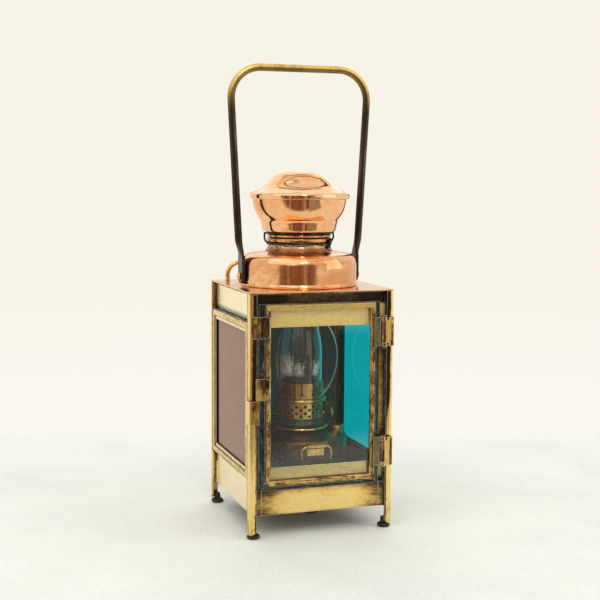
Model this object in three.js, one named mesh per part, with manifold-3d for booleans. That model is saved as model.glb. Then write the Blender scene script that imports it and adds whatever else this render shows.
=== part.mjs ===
// A square railroad hand lantern of brass and copper: glazed box, hinged door, vent head, bail and lamp.
// Millimetres. X runs to the right, Y to the back and Z up from the ground. The door is at the front.
import * as THREE from "three";
import { mergeVertices } from "three/addons/utils/BufferGeometryUtils.js";
import Module from "manifold-3d";

const wasm = await Module();
wasm.setup();

// Driving sizes
const bodySide = 127;
const bodyHeight = 205.2;
const panelFoot = 19;
const headRise = 98.3;
const bailRise = 188.8;
const panelSheet = 0.9;
const seatGap = 0.3;
const runGap = 0.4;
const overrun = 2;

// Corner posts and feet
const postFlange = 6.7;
const postSheet = 1.2;
const postRound = 3;
const postReturn = 4.2;
const postFoot = 4;
const postEndRound = 5;
const footRadius = 5.5;
const footInset = 5.2;
const footEdge = 0.9;
const footShoulder = 3.7;
const footDomeRadius = 3.5;
const footTop = 9;

// Panels, floor and top plate
const wallInset = 3.8;
const sillHeight = 40;
const headerDrop = 29.4;
const jambInsetLeft = 15.5;
const jambInsetRight = 18.5;
const hemWidth = 4.5;
const hemThick = 0.7;
const floorRise = 3.5;
const plateThick = 1.2;
const plateInset = 0.5;
const plateHoleInset = 3.5;
const studRadius = 3;
const studNeckRadius = 1.6;
const studDrop = 7;
const studHead = 2.4;
const studRight = -8;
const studInset = 13.5;

// Window frames
const windowMargin = 8.5;
const windowRise = 31.2;
const windowDrop = 25.7;
const windowInset = 0.2;
const windowDepth = 4.8;
const windowBead = 5;
const windowLip = 3.3;
const beadRise = 1.1;
const beadRound = 1;
const glassThick = 1.6;
const glassBite = 1.8;
const frameFront = 1.4;

// Door
const doorMarginLeft = 8;
const doorMarginRight = 13;
const doorRise = 21.4;
const doorDrop = 9.5;
const doorProud = 0.9;
const doorDepth = 4.4;
const doorBead = 4.6;
const stileLeft = 10.3;
const stileRight = 8.3;
const railFoot = 8.1;
const railTop = 5.4;

// Hinges
const hingeRise = 27.6;
const hingeDrop = 25.6;
const hingeInset = 9.8;
const hingeProud = 2;
const knuckleRadius = 2.8;
const pinRadius = 1.5;
const pinPlay = 0.3;
const pinHeadRadius = 2.4;
const pinHead = 1.2;
const bracketHalf = 9.4;
const leafHalf = 12.2;
const strapThick = 1;
const leafWidth = 5.6;
const strapReach = 9.2;
const strapShoulder = 5.6;

// Door catch, latch tongue and latch sleeve
const catchInset = 1;
const catchWidth = 15.7;
const catchDrop = 28.2;
const catchHeight = 18.1;
const joggleInset = 6.1;
const joggleRun = 1.5;
const tongueInset = 4.9;
const tongueDrop = 78.8;
const tongueHeight = 17.9;
const strapRound = 3;
const sleeveWall = 0.6;
const sleeveHeight = 19.6;
const sleeveInset = 7.5;
const sleeveLip = 2.8;
const sleeveFront = 0.9;
const sleeveRound = 1.5;

// Vent drum and neck
const drumInset = 14;
const drumLipReach = 0.7;
const drumLip = 2.6;
const drumWall = 13.9;
const drumShoulderRise = 11.1;
const drumRise = 29.3;
const headSheet = 0.9;
const neckInset = 22.5;
const neckFlare = 2.2;
const neckBead = 0.9;
const neckHeight = 14.5;

// Vent cup, rain cap and hold-down wire
const cupInset = 8.5;
const cupFoot = 46.6;
const cupHeight = 27.2;
const tubeReach = 14.8;
const tubeTop = 14;
const tabWidth = 7;
const tabCount = 4;
const tabReach = 12;
const tabRise = 79.1;
const capReach = 2.4;
const capFoot = 75.2;
const capSheet = 0.9;
const tieWire = 0.6;
const tieRise = 35.7;
const tieSpread = 3.6;
const knotBearing = -46;
const knotReach = 7.5;
const knotTurns = 2;
const knotSteps = 12;
const tieSides = 6;

// Bail and its rivets
const bailWire = 3.2;
const bailInset = 2.2;
const bailCorner = 26;
const bailClear = 2.5;
const pivotRise = 8.1;
const eyeThick = 2.8;
const eyeRadius = 6.2;
const eyeStraight = 20;
const eyeNeck = 29;
const rivetRadius = 2;
const rivetHeadRadius = 3;
const rivetHead = 2.2;
const rivetFlange = 0.5;

// Rear hanging loop
const loopWire = 2;
const loopSideInset = 15.5;
const loopRise = 15;
const loopCorner = 11;
const loopBackInset = 3.5;
const loopPad = 3.4;
const loopPadThick = 1;

// Reflector
const reflectorMargin = 11;
const reflectorDrop = 17.7;
const reflectorInset = 21;
const reflectorDepth = 16;
const reflectorLip = 1.6;
const reflectorSheet = 0.9;

// Lamp font
const lampFrontGap = 12.8;
const fontMargin = 10.5;
const fontHeight = 52.5;
const fontCrownRise = 4.9;
const fontSheet = 0.8;
const fontEdge = 0.9;
const fontHoleInset = 5.5;
const trayHeight = 5.5;
const traySheet = 0.8;
const fillerReach = 6.2;
const fillerForward = 11;
const fillerRadius = 5.2;
const fillerBore = 4.3;
const fillerSink = 4.5;
const fillerRise = 4.6;
const fillerCapSheet = 0.7;
const fillerCapRise = 2.9;
const fillerRibs = 20;

// Ring pull on the font
const ringWire = 1.1;
const ringHalf = 13.9;
const ringNarrow = 12;
const ringReach = 25;
const ringDrop = 3.8;
const ringCorner = 5;
const ringEndCorner = 9;
const clipHalf = 7.5;
const clipSheet = 0.6;
const clipTail = 8;

// Burner
const burnerRadius = 19.6;
const burnerSheet = 0.7;
const collarReach = 4.7;
const collarHeight = 9.7;
const collarSheet = 1;
const collarPlug = 3.5;
const collarRidge = 0.5;
const shellHeight = 13;
const ventRows = 4;
const ventHoles = 16;
const ventHoleRadius = 1.55;
const ventRise = 2.1;
const ventPitch = 2.85;
const ventSides = 6;
const restReach = 3.1;
const restThick = 4;
const restInset = 3.6;
const galleryReach = 0.4;
const galleryHeight = 12.9;
const gallerySlots = 12;
const slotWidth = 1.3;
const slotFoot = 3.4;
const keyholeRadius = 1.7;
const chimneyInset = 1.1;
const chimneyGlass = 1.4;
const chimneyHeight = 75.9;
const domeInset = 3.2;
const domeHeight = 30.7;
const domeSheet = 0.7;
const domeSlotHalf = 7.2;
const domeSlot = 3.2;
const domeSlotDepth = 4.5;

// Wick and its raiser
const wickHalf = 6.6;
const wickThick = 2;
const wickRise = 13.2;
const wickDrop = 5.8;
const wickShow = 2.5;
const tubeSheet = 0.6;
const tubeSink = 5.3;
const wickDiscInset = 1.6;
const wickDiscRise = 4.1;
const shaftRadius = 1;
const shaftRise = 2.3;
const shaftForward = 4.9;
const shaftReach = 5.2;
const wheelRadius = 3.5;
const wheelHalf = 4;
const wheelTeeth = 10;
const wheelTooth = 0.5;
const knobRadius = 5.5;
const knobThick = 2.8;
const knobFlutes = 12;
const knobFlute = 0.45;
const bossRadius = 1.9;
const bossReach = 1.6;

// Facets round each kind of turned piece
const fineSides = 32;
const midSides = 24;
const coarseSides = 16;
const smallSides = 12;

// Places of the box
const half = bodySide / 2;
const wallFace = half - wallInset;
const wallBack = wallFace - panelSheet;
const wallHalf = half - postFlange - seatGap;
const wallTop = bodyHeight - plateThick - seatGap;
const floorTop = panelFoot + floorRise;
const sillTop = panelFoot + sillHeight;
const headerFoot = bodyHeight - headerDrop;
const jambLeft = half - jambInsetLeft;
const jambRight = half - jambInsetRight;
const studForward = half - studInset;
const windowHalf = half - windowMargin;
const windowFoot = panelFoot + windowRise;
const windowTop = bodyHeight - windowDrop;

// Places of the door, its hinges and its latch
const doorLeft = half - doorMarginLeft;
const doorRight = half - doorMarginRight;
const doorFoot = panelFoot + doorRise;
const doorTop = bodyHeight - doorDrop;
const doorFlat = half + doorProud - beadRise;
const doorCrest = half + doorProud;
const strapBack = doorCrest + seatGap;
const strapFront = strapBack + strapThick;
const hingeAcross = half - hingeInset;
const hingeForward = half + hingeProud;
const catchOuter = half - catchInset;
const catchInner = catchOuter - catchWidth;
const catchFoot = doorTop - catchDrop;
const joggleOuter = half - joggleInset;
const joggleInner = joggleOuter - joggleRun;
const tongueOuter = half - tongueInset;
const tongueFoot = doorTop - tongueDrop;
const sleeveInner = half - sleeveInset;
const sleeveFoot = tongueFoot - seatGap - sleeveHeight;
const frontReach = hingeForward + knuckleRadius;
const rearReach = half - footInset + footRadius;

// Places of the head, the bail, the loop and the reflector
const headFoot = bodyHeight + seatGap;
const drumRadius = half - drumInset;
const drumLipRadius = drumRadius + drumLipReach;
const plateHoleRadius = drumRadius - plateHoleInset;
const drumCrown = headFoot + drumRise;
const neckRadius = drumRadius - neckInset;
const neckFoot = drumCrown + seatGap;
const draughtRadius = neckRadius - headSheet - seatGap;
const cupRadius = drumRadius - cupInset;
const capRadius = cupRadius + capReach;
const pivotHeight = bodyHeight + pivotRise;
const bailHalf = half - bailInset;
const bailFootHalf = drumRadius + bailClear;
const loopHalf = half - loopSideInset;
const loopBack = half - loopBackInset;
const reflectorRadius = half - reflectorMargin;
const reflectorHeight = wallTop - reflectorDrop - reflectorRadius;
const reflectorBack = half - reflectorInset;

// Places of the lamp
const collarRadius = burnerRadius + collarReach;
const fillerAcross = collarRadius + fillerReach;
const fontRadius = fillerAcross + fontMargin;
const fontHole = burnerRadius - fontHoleInset;
const lampBack = fontRadius + lampFrontGap - wallBack;
const fontFoot = floorTop + seatGap;
const fontTop = fontFoot + fontHeight;
const fontCrown = fontTop + fontCrownRise;
const fillerTop = fontTop + fillerRise;
const ringHeight = fontTop - ringDrop;
const ringForward = fontRadius + seatGap + clipSheet + ringWire + pinPlay;
const collarFoot = fontCrown + seatGap;
const collarTop = collarFoot + collarHeight;
const ventFoot = collarTop + ventRise;
const shaftHeight = collarTop + shaftRise;
const shaftOuter = burnerRadius + shaftReach;
const shellTop = collarTop + seatGap + shellHeight;
const restRadius = burnerRadius + restReach;
const restHole = burnerRadius - restInset;
const galleryRadius = burnerRadius + galleryReach;
const galleryFoot = shellTop + restThick + 2 * seatGap;
const lampSeat = galleryFoot + burnerSheet + seatGap;
const chimneyRadius = galleryRadius - chimneyInset;
const domeRadius = galleryRadius - domeInset;
const domeTop = lampSeat + domeHeight;
const wickFoot = fontFoot + wickRise;
const wickTop = domeTop - wickDrop;
const wickTubeFoot = fontTop - tubeSink;
const wickTubeTop = wickTop - wickShow;
const wickDisc = burnerRadius - wickDiscInset;
const wickDiscHeight = collarFoot + wickDiscRise;

// Finishes
const finish = (color, roughness, metalness, more = {}) =>
  new THREE.MeshStandardMaterial({ color, roughness, metalness, ...more });
const agedBrass = finish(0x9a7a3c, 0.42, 0.9);
const paleBrass = finish(0xcdb269, 0.38, 0.9);
const darkBrass = finish(0x4f3a22, 0.5, 0.85);
const solderedBrass = finish(0x8d8878, 0.45, 0.85);
const copper = finish(0xe0a06a, 0.32, 0.95);
const tinned = finish(0x8f9690, 0.3, 0.9);
const blackened = finish(0x2c2a26, 0.6, 0.6);
const rubber = finish(0x2a1a12, 0.85, 0);
const cotton = finish(0xcfc4a8, 0.95, 0);
const glazing = (color, opacity) => finish(color, 0.08, 0, { transparent: true, opacity });
const clearGlass = glazing(0xe6ece6, 0.25);
const redGlass = glazing(0xa01420, 0.6);
const tealGlass = glazing(0x009aa4, 0.6);

// Turns a three.js geometry into a solid, with its faces out and its slivers dropped
function solid(geometry) {
  const bare = geometry.clone();
  bare.deleteAttribute("normal");
  bare.deleteAttribute("uv");
  const welded = mergeVertices(bare);
  const places = welded.attributes.position;
  const corners = welded.index.array;
  const [a, b, c] = [new THREE.Vector3(), new THREE.Vector3(), new THREE.Vector3()];
  const faces = [];
  let volume = 0;
  for (let i = 0; i < corners.length; i += 3) {
    const [p, q, r] = corners.slice(i, i + 3);
    if (p === q || q === r || r === p) continue;
    faces.push([p, q, r]);
    a.fromBufferAttribute(places, p);
    b.fromBufferAttribute(places, q);
    c.fromBufferAttribute(places, r);
    volume += a.dot(b.cross(c));
  }
  const outward = volume > 0 ? faces : faces.map(([p, q, r]) => [p, r, q]);
  const triVerts = new Uint32Array(outward.flat());
  const vertProperties = new Float32Array(places.array);
  return new wasm.Manifold(new wasm.Mesh({ numProp: 3, vertProperties, triVerts }));
}

// Turns a solid back into a geometry
function shellOf(body) {
  const mesh = body.getMesh();
  const geometry = new THREE.BufferGeometry();
  geometry.setAttribute("position", new THREE.BufferAttribute(mesh.vertProperties, 3));
  geometry.setIndex(new THREE.BufferAttribute(mesh.triVerts, 1));
  geometry.computeVertexNormals();
  return geometry;
}

const joined = (bodies) => bodies.reduce((whole, body) => whole.add(body));
const cutBy = (body, cutters) => cutters.reduce((rest, cutter) => rest.subtract(cutter), body);

// A block between two corners
function block([x0, y0, z0], [x1, y1, z1]) {
  const geometry = new THREE.BoxGeometry(x1 - x0, y1 - y0, z1 - z0);
  return solid(geometry.translate((x0 + x1) / 2, (y0 + y1) / 2, (z0 + z1) / 2));
}

// A round bar from one point to another
function bar(from, to, radius, sides) {
  const start = new THREE.Vector3(...from);
  const way = new THREE.Vector3(...to).sub(start);
  const geometry = new THREE.CylinderGeometry(radius, radius, way.length(), sides);
  const turn = new THREE.Quaternion().setFromUnitVectors(new THREE.Vector3(0, 1, 0), way.clone().normalize());
  geometry.applyQuaternion(turn);
  geometry.translate(...start.addScaledVector(way, 1 / 2).toArray());
  return solid(geometry);
}

// A closed outline of [radius, height] points, turned about Z
function turnedShape(outline, sides) {
  const ring = [...outline];
  if (outline[0][0] > 0) ring.push(outline[0]);
  const geometry = new THREE.LatheGeometry(ring.map(([r, z]) => new THREE.Vector2(r, z)), sides);
  return geometry.rotateX(Math.PI / 2);
}

const turned = (outline, sides) => solid(turnedShape(outline, sides));

// Gives an open outline a wall on its left side, and closes it
function skin(outline, wall) {
  const normal = ([r0, z0], [r1, z1]) => {
    const length = Math.hypot(r1 - r0, z1 - z0);
    return [(z0 - z1) / length, (r1 - r0) / length];
  };
  const last = outline.length - 1;
  const inner = outline.map((point, i) => {
    const after = normal(outline[Math.min(i, last - 1)], outline[Math.min(i + 1, last)]);
    const before = normal(outline[Math.max(i - 1, 0)], outline[Math.max(i, 1)]);
    const share = wall / (1 + before[0] * after[0] + before[1] * after[1]);
    const inset = [(before[0] + after[0]) * share, (before[1] + after[1]) * share];
    return [point[0] === 0 ? 0 : point[0] + inset[0], point[1] + inset[1]];
  });
  return [...outline, ...inner.reverse()];
}

// Scales a list of shares to a radius and a height above a foot
const shaped = (shares, radius, height, foot) => shares.map(([r, z]) => [r * radius, foot + z * height]);

// An outline in X and Y, extruded up from a foot
function extruded(points, foot, height, holes = []) {
  const outline = new THREE.Shape(points.map(([x, y]) => new THREE.Vector2(x, y)));
  outline.holes = holes;
  const geometry = new THREE.ExtrudeGeometry(outline, { depth: height, bevelEnabled: false });
  return geometry.translate(0, 0, foot);
}

// Points of an arc about a centre, between two angles in degrees
function arc([x, y], radius, from, to, steps) {
  return Array.from({ length: steps + 1 }, (_, i) => {
    const angle = THREE.MathUtils.degToRad(from + (to - from) * (i / steps));
    return [x + radius * Math.cos(angle), y + radius * Math.sin(angle)];
  });
}

const round = (radius, sides, centre = [0, 0]) =>
  new THREE.Path(
    arc(centre, radius, 0, 360 - 360 / sides, sides - 1).map(([x, y]) => new THREE.Vector2(x, y)),
  );

// A route through given points, which an extrusion follows step by step
class Route extends THREE.Curve {
  constructor(points) {
    super();
    this.points = points;
  }

  getPoint(t, target = new THREE.Vector3()) {
    const place = t * (this.points.length - 1);
    const i = Math.min(Math.floor(place), this.points.length - 2);
    return target.lerpVectors(this.points[i], this.points[i + 1], place - i);
  }

  getPointAt(u, target) {
    return this.getPoint(u, target);
  }

  getTangentAt(u, target = new THREE.Vector3()) {
    const last = this.points.length - 1;
    const i = Math.round(u * last);
    const before = this.points[Math.max(i - 1, 0)];
    const here = this.points[i];
    const after = this.points[Math.min(i + 1, last)];
    const into = here.clone().sub(before).normalize();
    const out = after.clone().sub(here).normalize();
    return target.copy(into.add(out)).normalize();
  }
}

// A round wire along a list of points
function wire(points, radius, sides) {
  const section = new THREE.Shape(round(radius, sides).getPoints());
  const options = { steps: points.length - 1, extrudePath: new Route(points), bevelEnabled: false };
  return new THREE.ExtrudeGeometry(section, options);
}

// Replaces each inner corner of a list of points by an arc
function filleted(corners, radii, steps) {
  const points = [corners[0]];
  for (let i = 1; i < corners.length - 1; i += 1) {
    const back = corners[i - 1].clone().sub(corners[i]).normalize();
    const on = corners[i + 1].clone().sub(corners[i]).normalize();
    const opening = back.angleTo(on);
    const radius = radii[i - 1];
    const toCentre = back.clone().add(on).normalize();
    const centre = corners[i].clone().addScaledVector(toCentre, radius / Math.sin(opening / 2));
    const first = corners[i].clone().addScaledVector(back, radius / Math.tan(opening / 2)).sub(centre);
    const lastSpoke = corners[i].clone().addScaledVector(on, radius / Math.tan(opening / 2)).sub(centre);
    const sweep = Math.PI - opening;
    const side = lastSpoke.clone().addScaledVector(first, -Math.cos(sweep)).setLength(radius);
    for (let k = 0; k <= steps; k += 1) {
      const turn = sweep * (k / steps);
      const spoke = first.clone().multiplyScalar(Math.cos(turn)).addScaledVector(side, Math.sin(turn));
      points.push(centre.clone().add(spoke));
    }
  }
  points.push(corners[corners.length - 1]);
  return points;
}

const at = (x, y, z) => new THREE.Vector3(x, y, z);

// A point at a bearing in degrees round Z, counted from +X towards +Y
function onCircle(radius, bearing, height) {
  const angle = THREE.MathUtils.degToRad(bearing);
  return at(radius * Math.cos(angle), radius * Math.sin(angle), height);
}

const lantern = new THREE.Group();

// Adds a named piece to a group of the lantern
function add(name, body, material, group = lantern) {
  const mesh = new THREE.Mesh(body instanceof THREE.BufferGeometry ? body : shellOf(body), material);
  mesh.name = name;
  group.add(mesh);
  return mesh;
}

// A corner post: a bent angle with returned edges, and a plain rounded leg below the panels
function cornerPost() {
  const [f, t, r] = [postFlange, postSheet, postReturn];
  const section = [
    ...arc([postRound, postRound], postRound, 180, 270, 4),
    [f, 0], [f, r], [f - t, r], [f - t, t],
    [t, t],
    [t, f - t], [r, f - t], [r, f], [0, f],
  ];
  const height = wallTop - postFoot;
  const post = solid(extruded(section, postFoot, height));
  const legNotch = block([t, t, postFoot - overrun], [f + overrun, f + overrun, panelFoot]);
  const heel = (swap) => {
    const place = (x, y, z) => (swap ? [y, x, z] : [x, y, z]);
    const low = place(f - postEndRound, -overrun, postFoot - overrun);
    const high = place(f + overrun, t + overrun, postFoot + postEndRound);
    const from = place(f - postEndRound, -2 * overrun, postFoot + postEndRound);
    const to = place(f - postEndRound, t + 2 * overrun, postFoot + postEndRound);
    return block(low, high).subtract(bar(from, to, postEndRound, coarseSides));
  };
  return cutBy(post, [legNotch, heel(false), heel(true)]);
}

function foot() {
  const outline = [
    [0, 0], [footRadius - footEdge, 0], [footRadius, footEdge],
    [footRadius, footShoulder - footEdge / 2], [footRadius - footEdge / 2, footShoulder],
    [footDomeRadius, footShoulder + seatGap], [footDomeRadius, footTop - footEdge],
    [footDomeRadius - footEdge, footTop], [0, footTop],
  ];
  return turned(outline, coarseSides);
}

// A flat panel at the front wall's plane, with an optional folded hem at each end
function wallPanel(low, high, hems = false) {
  const panel = block([-wallHalf, -wallFace, low], [wallHalf, -wallBack, high]);
  if (!hems) return panel;
  const hem = (x) => block([x, -wallFace - hemThick, low], [x + hemWidth, -wallFace, doorFoot - seatGap]);
  return joined([panel, hem(-wallHalf), hem(wallHalf - hemWidth)]);
}

// The front wall: sill, header and jambs round the doorway
function frontSurround() {
  const doorway = block([-jambLeft, -half - overrun, sillTop], [jambRight, 0, headerFoot]);
  return wallPanel(panelFoot, wallTop, true).subtract(doorway);
}

function floorPanel() {
  const reach = wallBack - seatGap;
  const panel = block([-reach, -reach, floorTop - panelSheet], [reach, reach, floorTop]);
  const hole = [studRight, -studForward];
  const neck = studNeckRadius + pinPlay;
  return panel.subtract(bar([...hole, 0], [...hole, bodySide], neck, smallSides));
}

// The stud that stands through the floor near its front edge
function floorStud() {
  const under = floorTop - panelSheet - seatGap;
  const outline = [
    [0, under - studDrop],
    [studRadius * 0.7, under - studDrop], [studRadius, under - studDrop + studHead],
    [studRadius, under], [studNeckRadius, under], [studNeckRadius, floorTop], [0, floorTop],
  ];
  return turned(outline, smallSides);
}

function topPlate() {
  const reach = half - plateInset;
  const square = [[-reach, -reach], [reach, -reach], [reach, reach], [-reach, reach]];
  const hole = round(plateHoleRadius, fineSides);
  return solid(extruded(square, bodyHeight - plateThick, plateThick, [hole]));
}

// A rounded bead round a rectangle at the front plane, standing out from it towards -Y
function bead(left, right, low, high, width, face) {
  const outline = new THREE.Shape();
  outline.moveTo(left, low).lineTo(right, low).lineTo(right, high).lineTo(left, high).closePath();
  const inner = new THREE.Path();
  inner.moveTo(left + width, low + width).lineTo(left + width, high - width);
  inner.lineTo(right - width, high - width).lineTo(right - width, low + width).closePath();
  outline.holes = [inner];
  const bevel = { bevelThickness: beadRound, bevelSize: beadRound, bevelOffset: -beadRound };
  const geometry = new THREE.ExtrudeGeometry(outline, { depth: beadRise, ...bevel, bevelSegments: 3 });
  geometry.translate(0, 0, -beadRound);
  geometry.rotateX(Math.PI / 2).translate(0, -face, 0);
  const front = [left - overrun, -face - 2 * beadRise, low - overrun];
  const back = [right + overrun, -face, high + overrun];
  return solid(geometry).intersect(block(front, back));
}

// A glazed frame facing -Y: a bead at some setback from its edge, an opening, and a groove for the pane
function glazedFrame(outer, opening, face, depth, beadBox, beadWidth) {
  const body = block([outer.left, -face, outer.low], [outer.right, -face + depth, outer.high]);
  const hole = block(
    [opening.left, -face - overrun, opening.low],
    [opening.right, -face + depth + overrun, opening.high],
  );
  const bite = glassBite + seatGap;
  const groove = block(
    [opening.left - bite, -face + frameFront - seatGap, opening.low - bite],
    [opening.right + bite, -face + frameFront + glassThick + seatGap, opening.high + bite],
  );
  const edge = bead(beadBox.left, beadBox.right, beadBox.low, beadBox.high, beadWidth, face);
  return cutBy(body, [hole, groove]).add(edge);
}

function pane(opening, face) {
  const front = -face + frameFront;
  return block(
    [opening.left - glassBite, front, opening.low - glassBite],
    [opening.right + glassBite, front + glassThick, opening.high + glassBite],
  );
}

const windowOuter = { left: -windowHalf, right: windowHalf, low: windowFoot, high: windowTop };
const windowEdge = windowBead + windowLip;
const windowOpening = {
  left: -windowHalf + windowEdge,
  right: windowHalf - windowEdge,
  low: windowFoot + windowEdge,
  high: windowTop - windowEdge,
};
const windowFace = half - windowInset - beadRise;
const doorOuter = { left: -doorLeft, right: doorRight, low: doorFoot, high: doorTop };
const doorOpening = {
  left: -doorLeft + stileLeft,
  right: doorRight - stileRight,
  low: doorFoot + railFoot,
  high: doorTop - railTop,
};
const doorChannel = {
  left: doorOpening.left - doorBead,
  right: doorOpening.right + doorBead,
  low: doorOpening.low - doorBead,
  high: doorOpening.high + doorBead,
};

// A hinge leaf on the door's stile, with a knuckle at each end of the pin
function hingeLeaf() {
  const axis = [hingeAcross, -hingeForward];
  const edge = hingeAcross - knuckleRadius - seatGap;
  const back = -strapBack;
  const plate = block([edge - leafWidth, -strapFront, -leafHalf], [edge, back, leafHalf]);
  const knuckles = [-1, 1].flatMap((end) => {
    const near = end * (bracketHalf + seatGap);
    const far = end * leafHalf;
    const [low, high] = end > 0 ? [near, far] : [far, near];
    const web = block([edge - seatGap, -strapFront, low], [hingeAcross, back, high]);
    return [web, bar([...axis, low], [...axis, high], knuckleRadius, smallSides)];
  });
  const bore = bar([...axis, -bodySide], [...axis, bodySide], pinRadius + pinPlay, smallSides);
  return joined([plate, ...knuckles]).subtract(bore);
}

// The strap on the post, bowed out to the middle knuckle that it is rolled into
function hingeBracket() {
  const foot = half + seatGap;
  const crown = hingeForward + knuckleRadius;
  const right = hingeAcross + strapReach;
  const shoulder = hingeAcross + strapShoulder;
  const rise = crown - foot;
  const bow = [[0, 1], [0.3, 0.97], [0.6, 0.84], [0.82, 0.58], [0.94, 0.3], [1, 0]];
  const outer = bow.map(([across, out]) => [shoulder + across * (right - shoulder), -foot - out * rise]);
  const inner = bow.map(([across, out]) => [
    shoulder + across * (right - strapThick - shoulder),
    -foot - out * (rise - strapThick),
  ]);
  const section = [[hingeAcross, -crown], ...outer, ...inner.reverse(), [hingeAcross, -crown + strapThick]];
  const strap = solid(extruded(section, -leafHalf, 2 * leafHalf));
  const clear = hingeAcross + knuckleRadius + seatGap;
  const ends = [-leafHalf, bracketHalf].map((low) =>
    block([hingeAcross - overrun, -crown - overrun, low], [clear, 0, low + leafHalf - bracketHalf]),
  );
  const axis = [hingeAcross, -hingeForward];
  const barrel = bar([...axis, -bracketHalf], [...axis, bracketHalf], knuckleRadius, smallSides);
  const bore = bar([...axis, -bodySide], [...axis, bodySide], pinRadius + pinPlay, smallSides);
  return cutBy(strap, ends).add(barrel).subtract(bore);
}

function hingePin() {
  const reach = leafHalf + seatGap;
  const outline = [
    [0, -reach - pinHead], [pinHeadRadius, -reach - pinHead], [pinHeadRadius, -reach],
    [pinRadius, -reach], [pinRadius, reach],
    [pinHeadRadius, reach], [pinHeadRadius, reach + pinHead], [0, reach + pinHead],
  ];
  return turned(outline, smallSides);
}

// A flat strap on the door that steps back over the post, with two rounded corners at the right
function lapStrap(outerEdge, low, height, steps) {
  const back = -strapBack;
  const front = -strapFront;
  const drop = steps ? strapBack - half - seatGap : 0;
  const section = [
    [-catchInner, back], [-joggleInner, back], [-joggleOuter, back + drop], [-outerEdge, back + drop],
    [-outerEdge, front + drop], [-joggleOuter, front + drop], [-joggleInner, front], [-catchInner, front],
  ];
  const strap = solid(extruded(section, low, height));
  const corner = (edge, inward) => {
    const z = edge + inward * strapRound;
    const zs = [z, edge - inward * overrun].sort((a, b) => a - b);
    const x = -catchInner - strapRound;
    const nib = block([x, front - overrun, zs[0]], [-catchInner + overrun, back + overrun, zs[1]]);
    const [from, to] = [front - 2 * overrun, back + 2 * overrun];
    return nib.subtract(bar([x, from, z], [x, to, z], strapRound, coarseSides));
  };
  return cutBy(strap, [corner(low, 1), corner(low + height, -1)]);
}

// The sleeve that slides up the post over the latch tongue
function latchSleeve() {
  const side = half + seatGap;
  const front = strapFront + seatGap;
  const backEdge = half - postFlange - runGap;
  const section = [
    [-sleeveInner, -front - sleeveFront], [-sleeveInner, -front], [-side, -front],
    [-side, -backEdge],
    [-side + sleeveLip, -backEdge], [-side + sleeveLip, -backEdge + sleeveWall],
    [-side - sleeveWall, -backEdge + sleeveWall],
    ...arc([-side - sleeveWall + sleeveRound, -front - sleeveFront + sleeveRound], sleeveRound, 180, 270, 4),
  ];
  return solid(extruded(section, sleeveFoot, sleeveHeight));
}

// The drum over the top plate: a lip at its foot, a rounded shoulder, a crease and a low cone
function ventDrum() {
  const shoulderShares = [
    [1, 0], [0.996, 0.27], [0.984, 0.5], [0.96, 0.7], [0.921, 0.865], [0.881, 0.97], [0.857, 1],
    [0.839, 0.97], [0.73, 1.09],
  ];
  const wallFoot = headFoot + drumLip;
  const outline = [
    [drumLipRadius, headFoot], [drumLipRadius, headFoot + drumLip * 0.7], [drumRadius, wallFoot],
    ...shaped(shoulderShares, drumRadius, drumShoulderRise, wallFoot + drumWall),
    [neckRadius - seatGap, drumCrown],
  ];
  return turned(skin(outline, headSheet), fineSides);
}

// The neck on the drum, with a flared foot and two beads
function ventNeck() {
  const [r, b] = [neckRadius, neckBead];
  const up = (share) => neckFoot + share * neckHeight;
  const outline = [
    [r + neckFlare, up(0)], [r + neckFlare / 3, up(0.14)], [r, up(0.3)], [r, up(0.46)],
    [r + b, up(0.53)], [r + b, up(0.63)], [r, up(0.7)], [r, up(0.75)],
    [r + b, up(0.82)], [r + b, up(0.92)], [r, up(1)],
    [r - headSheet, up(1)], [r - headSheet, up(0)],
  ];
  return turned(outline, fineSides);
}

// The cup, with the tabs that carry the cap
function ventCup() {
  const floor = bodyHeight + cupFoot;
  const wallShares = [
    [0.766, 0], [0.788, 0.037], [0.842, 0.355], [0.863, 0.39],
    [0.92, 0.54], [0.97, 0.72], [1, 1],
  ];
  const wall = shaped(wallShares, cupRadius, cupHeight, floor);
  const cup = turned(skin([[draughtRadius + seatGap, floor], ...wall], headSheet), fineSides);
  const tabs = Array.from({ length: tabCount }, (_, i) => {
    const tab = new THREE.BoxGeometry(headSheet, tabWidth, tabReach);
    tab.translate(cupRadius - 2 * headSheet, 0, bodyHeight + tabRise - tabReach / 2);
    return solid(tab.rotateZ((i + 1 / 2) * (2 * Math.PI / tabCount)));
  });
  return joined([cup, ...tabs]);
}

// The tube through the cup's floor, which plugs into the neck
function draughtTube() {
  const floor = bodyHeight + cupFoot;
  const outline = [[draughtRadius, floor - tubeReach], [draughtRadius, floor + tubeTop]];
  return turned(skin(outline, headSheet), fineSides);
}

// The rain cap: a low dome on a flat brim with a rolled rim
function rainCap() {
  const foot = bodyHeight + capFoot;
  const rise = headRise - capFoot;
  const shares = [
    [0.977, 0], [1, 0.06], [1, 0.155], [0.935, 0.215],
    [0.809, 0.31], [0.71, 0.42], [0.604, 0.63], [0.499, 0.815], [0.378, 0.944], [0, 1],
  ];
  return turned(skin(shaped(shares, capRadius, rise, foot), capSheet), fineSides);
}

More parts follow.
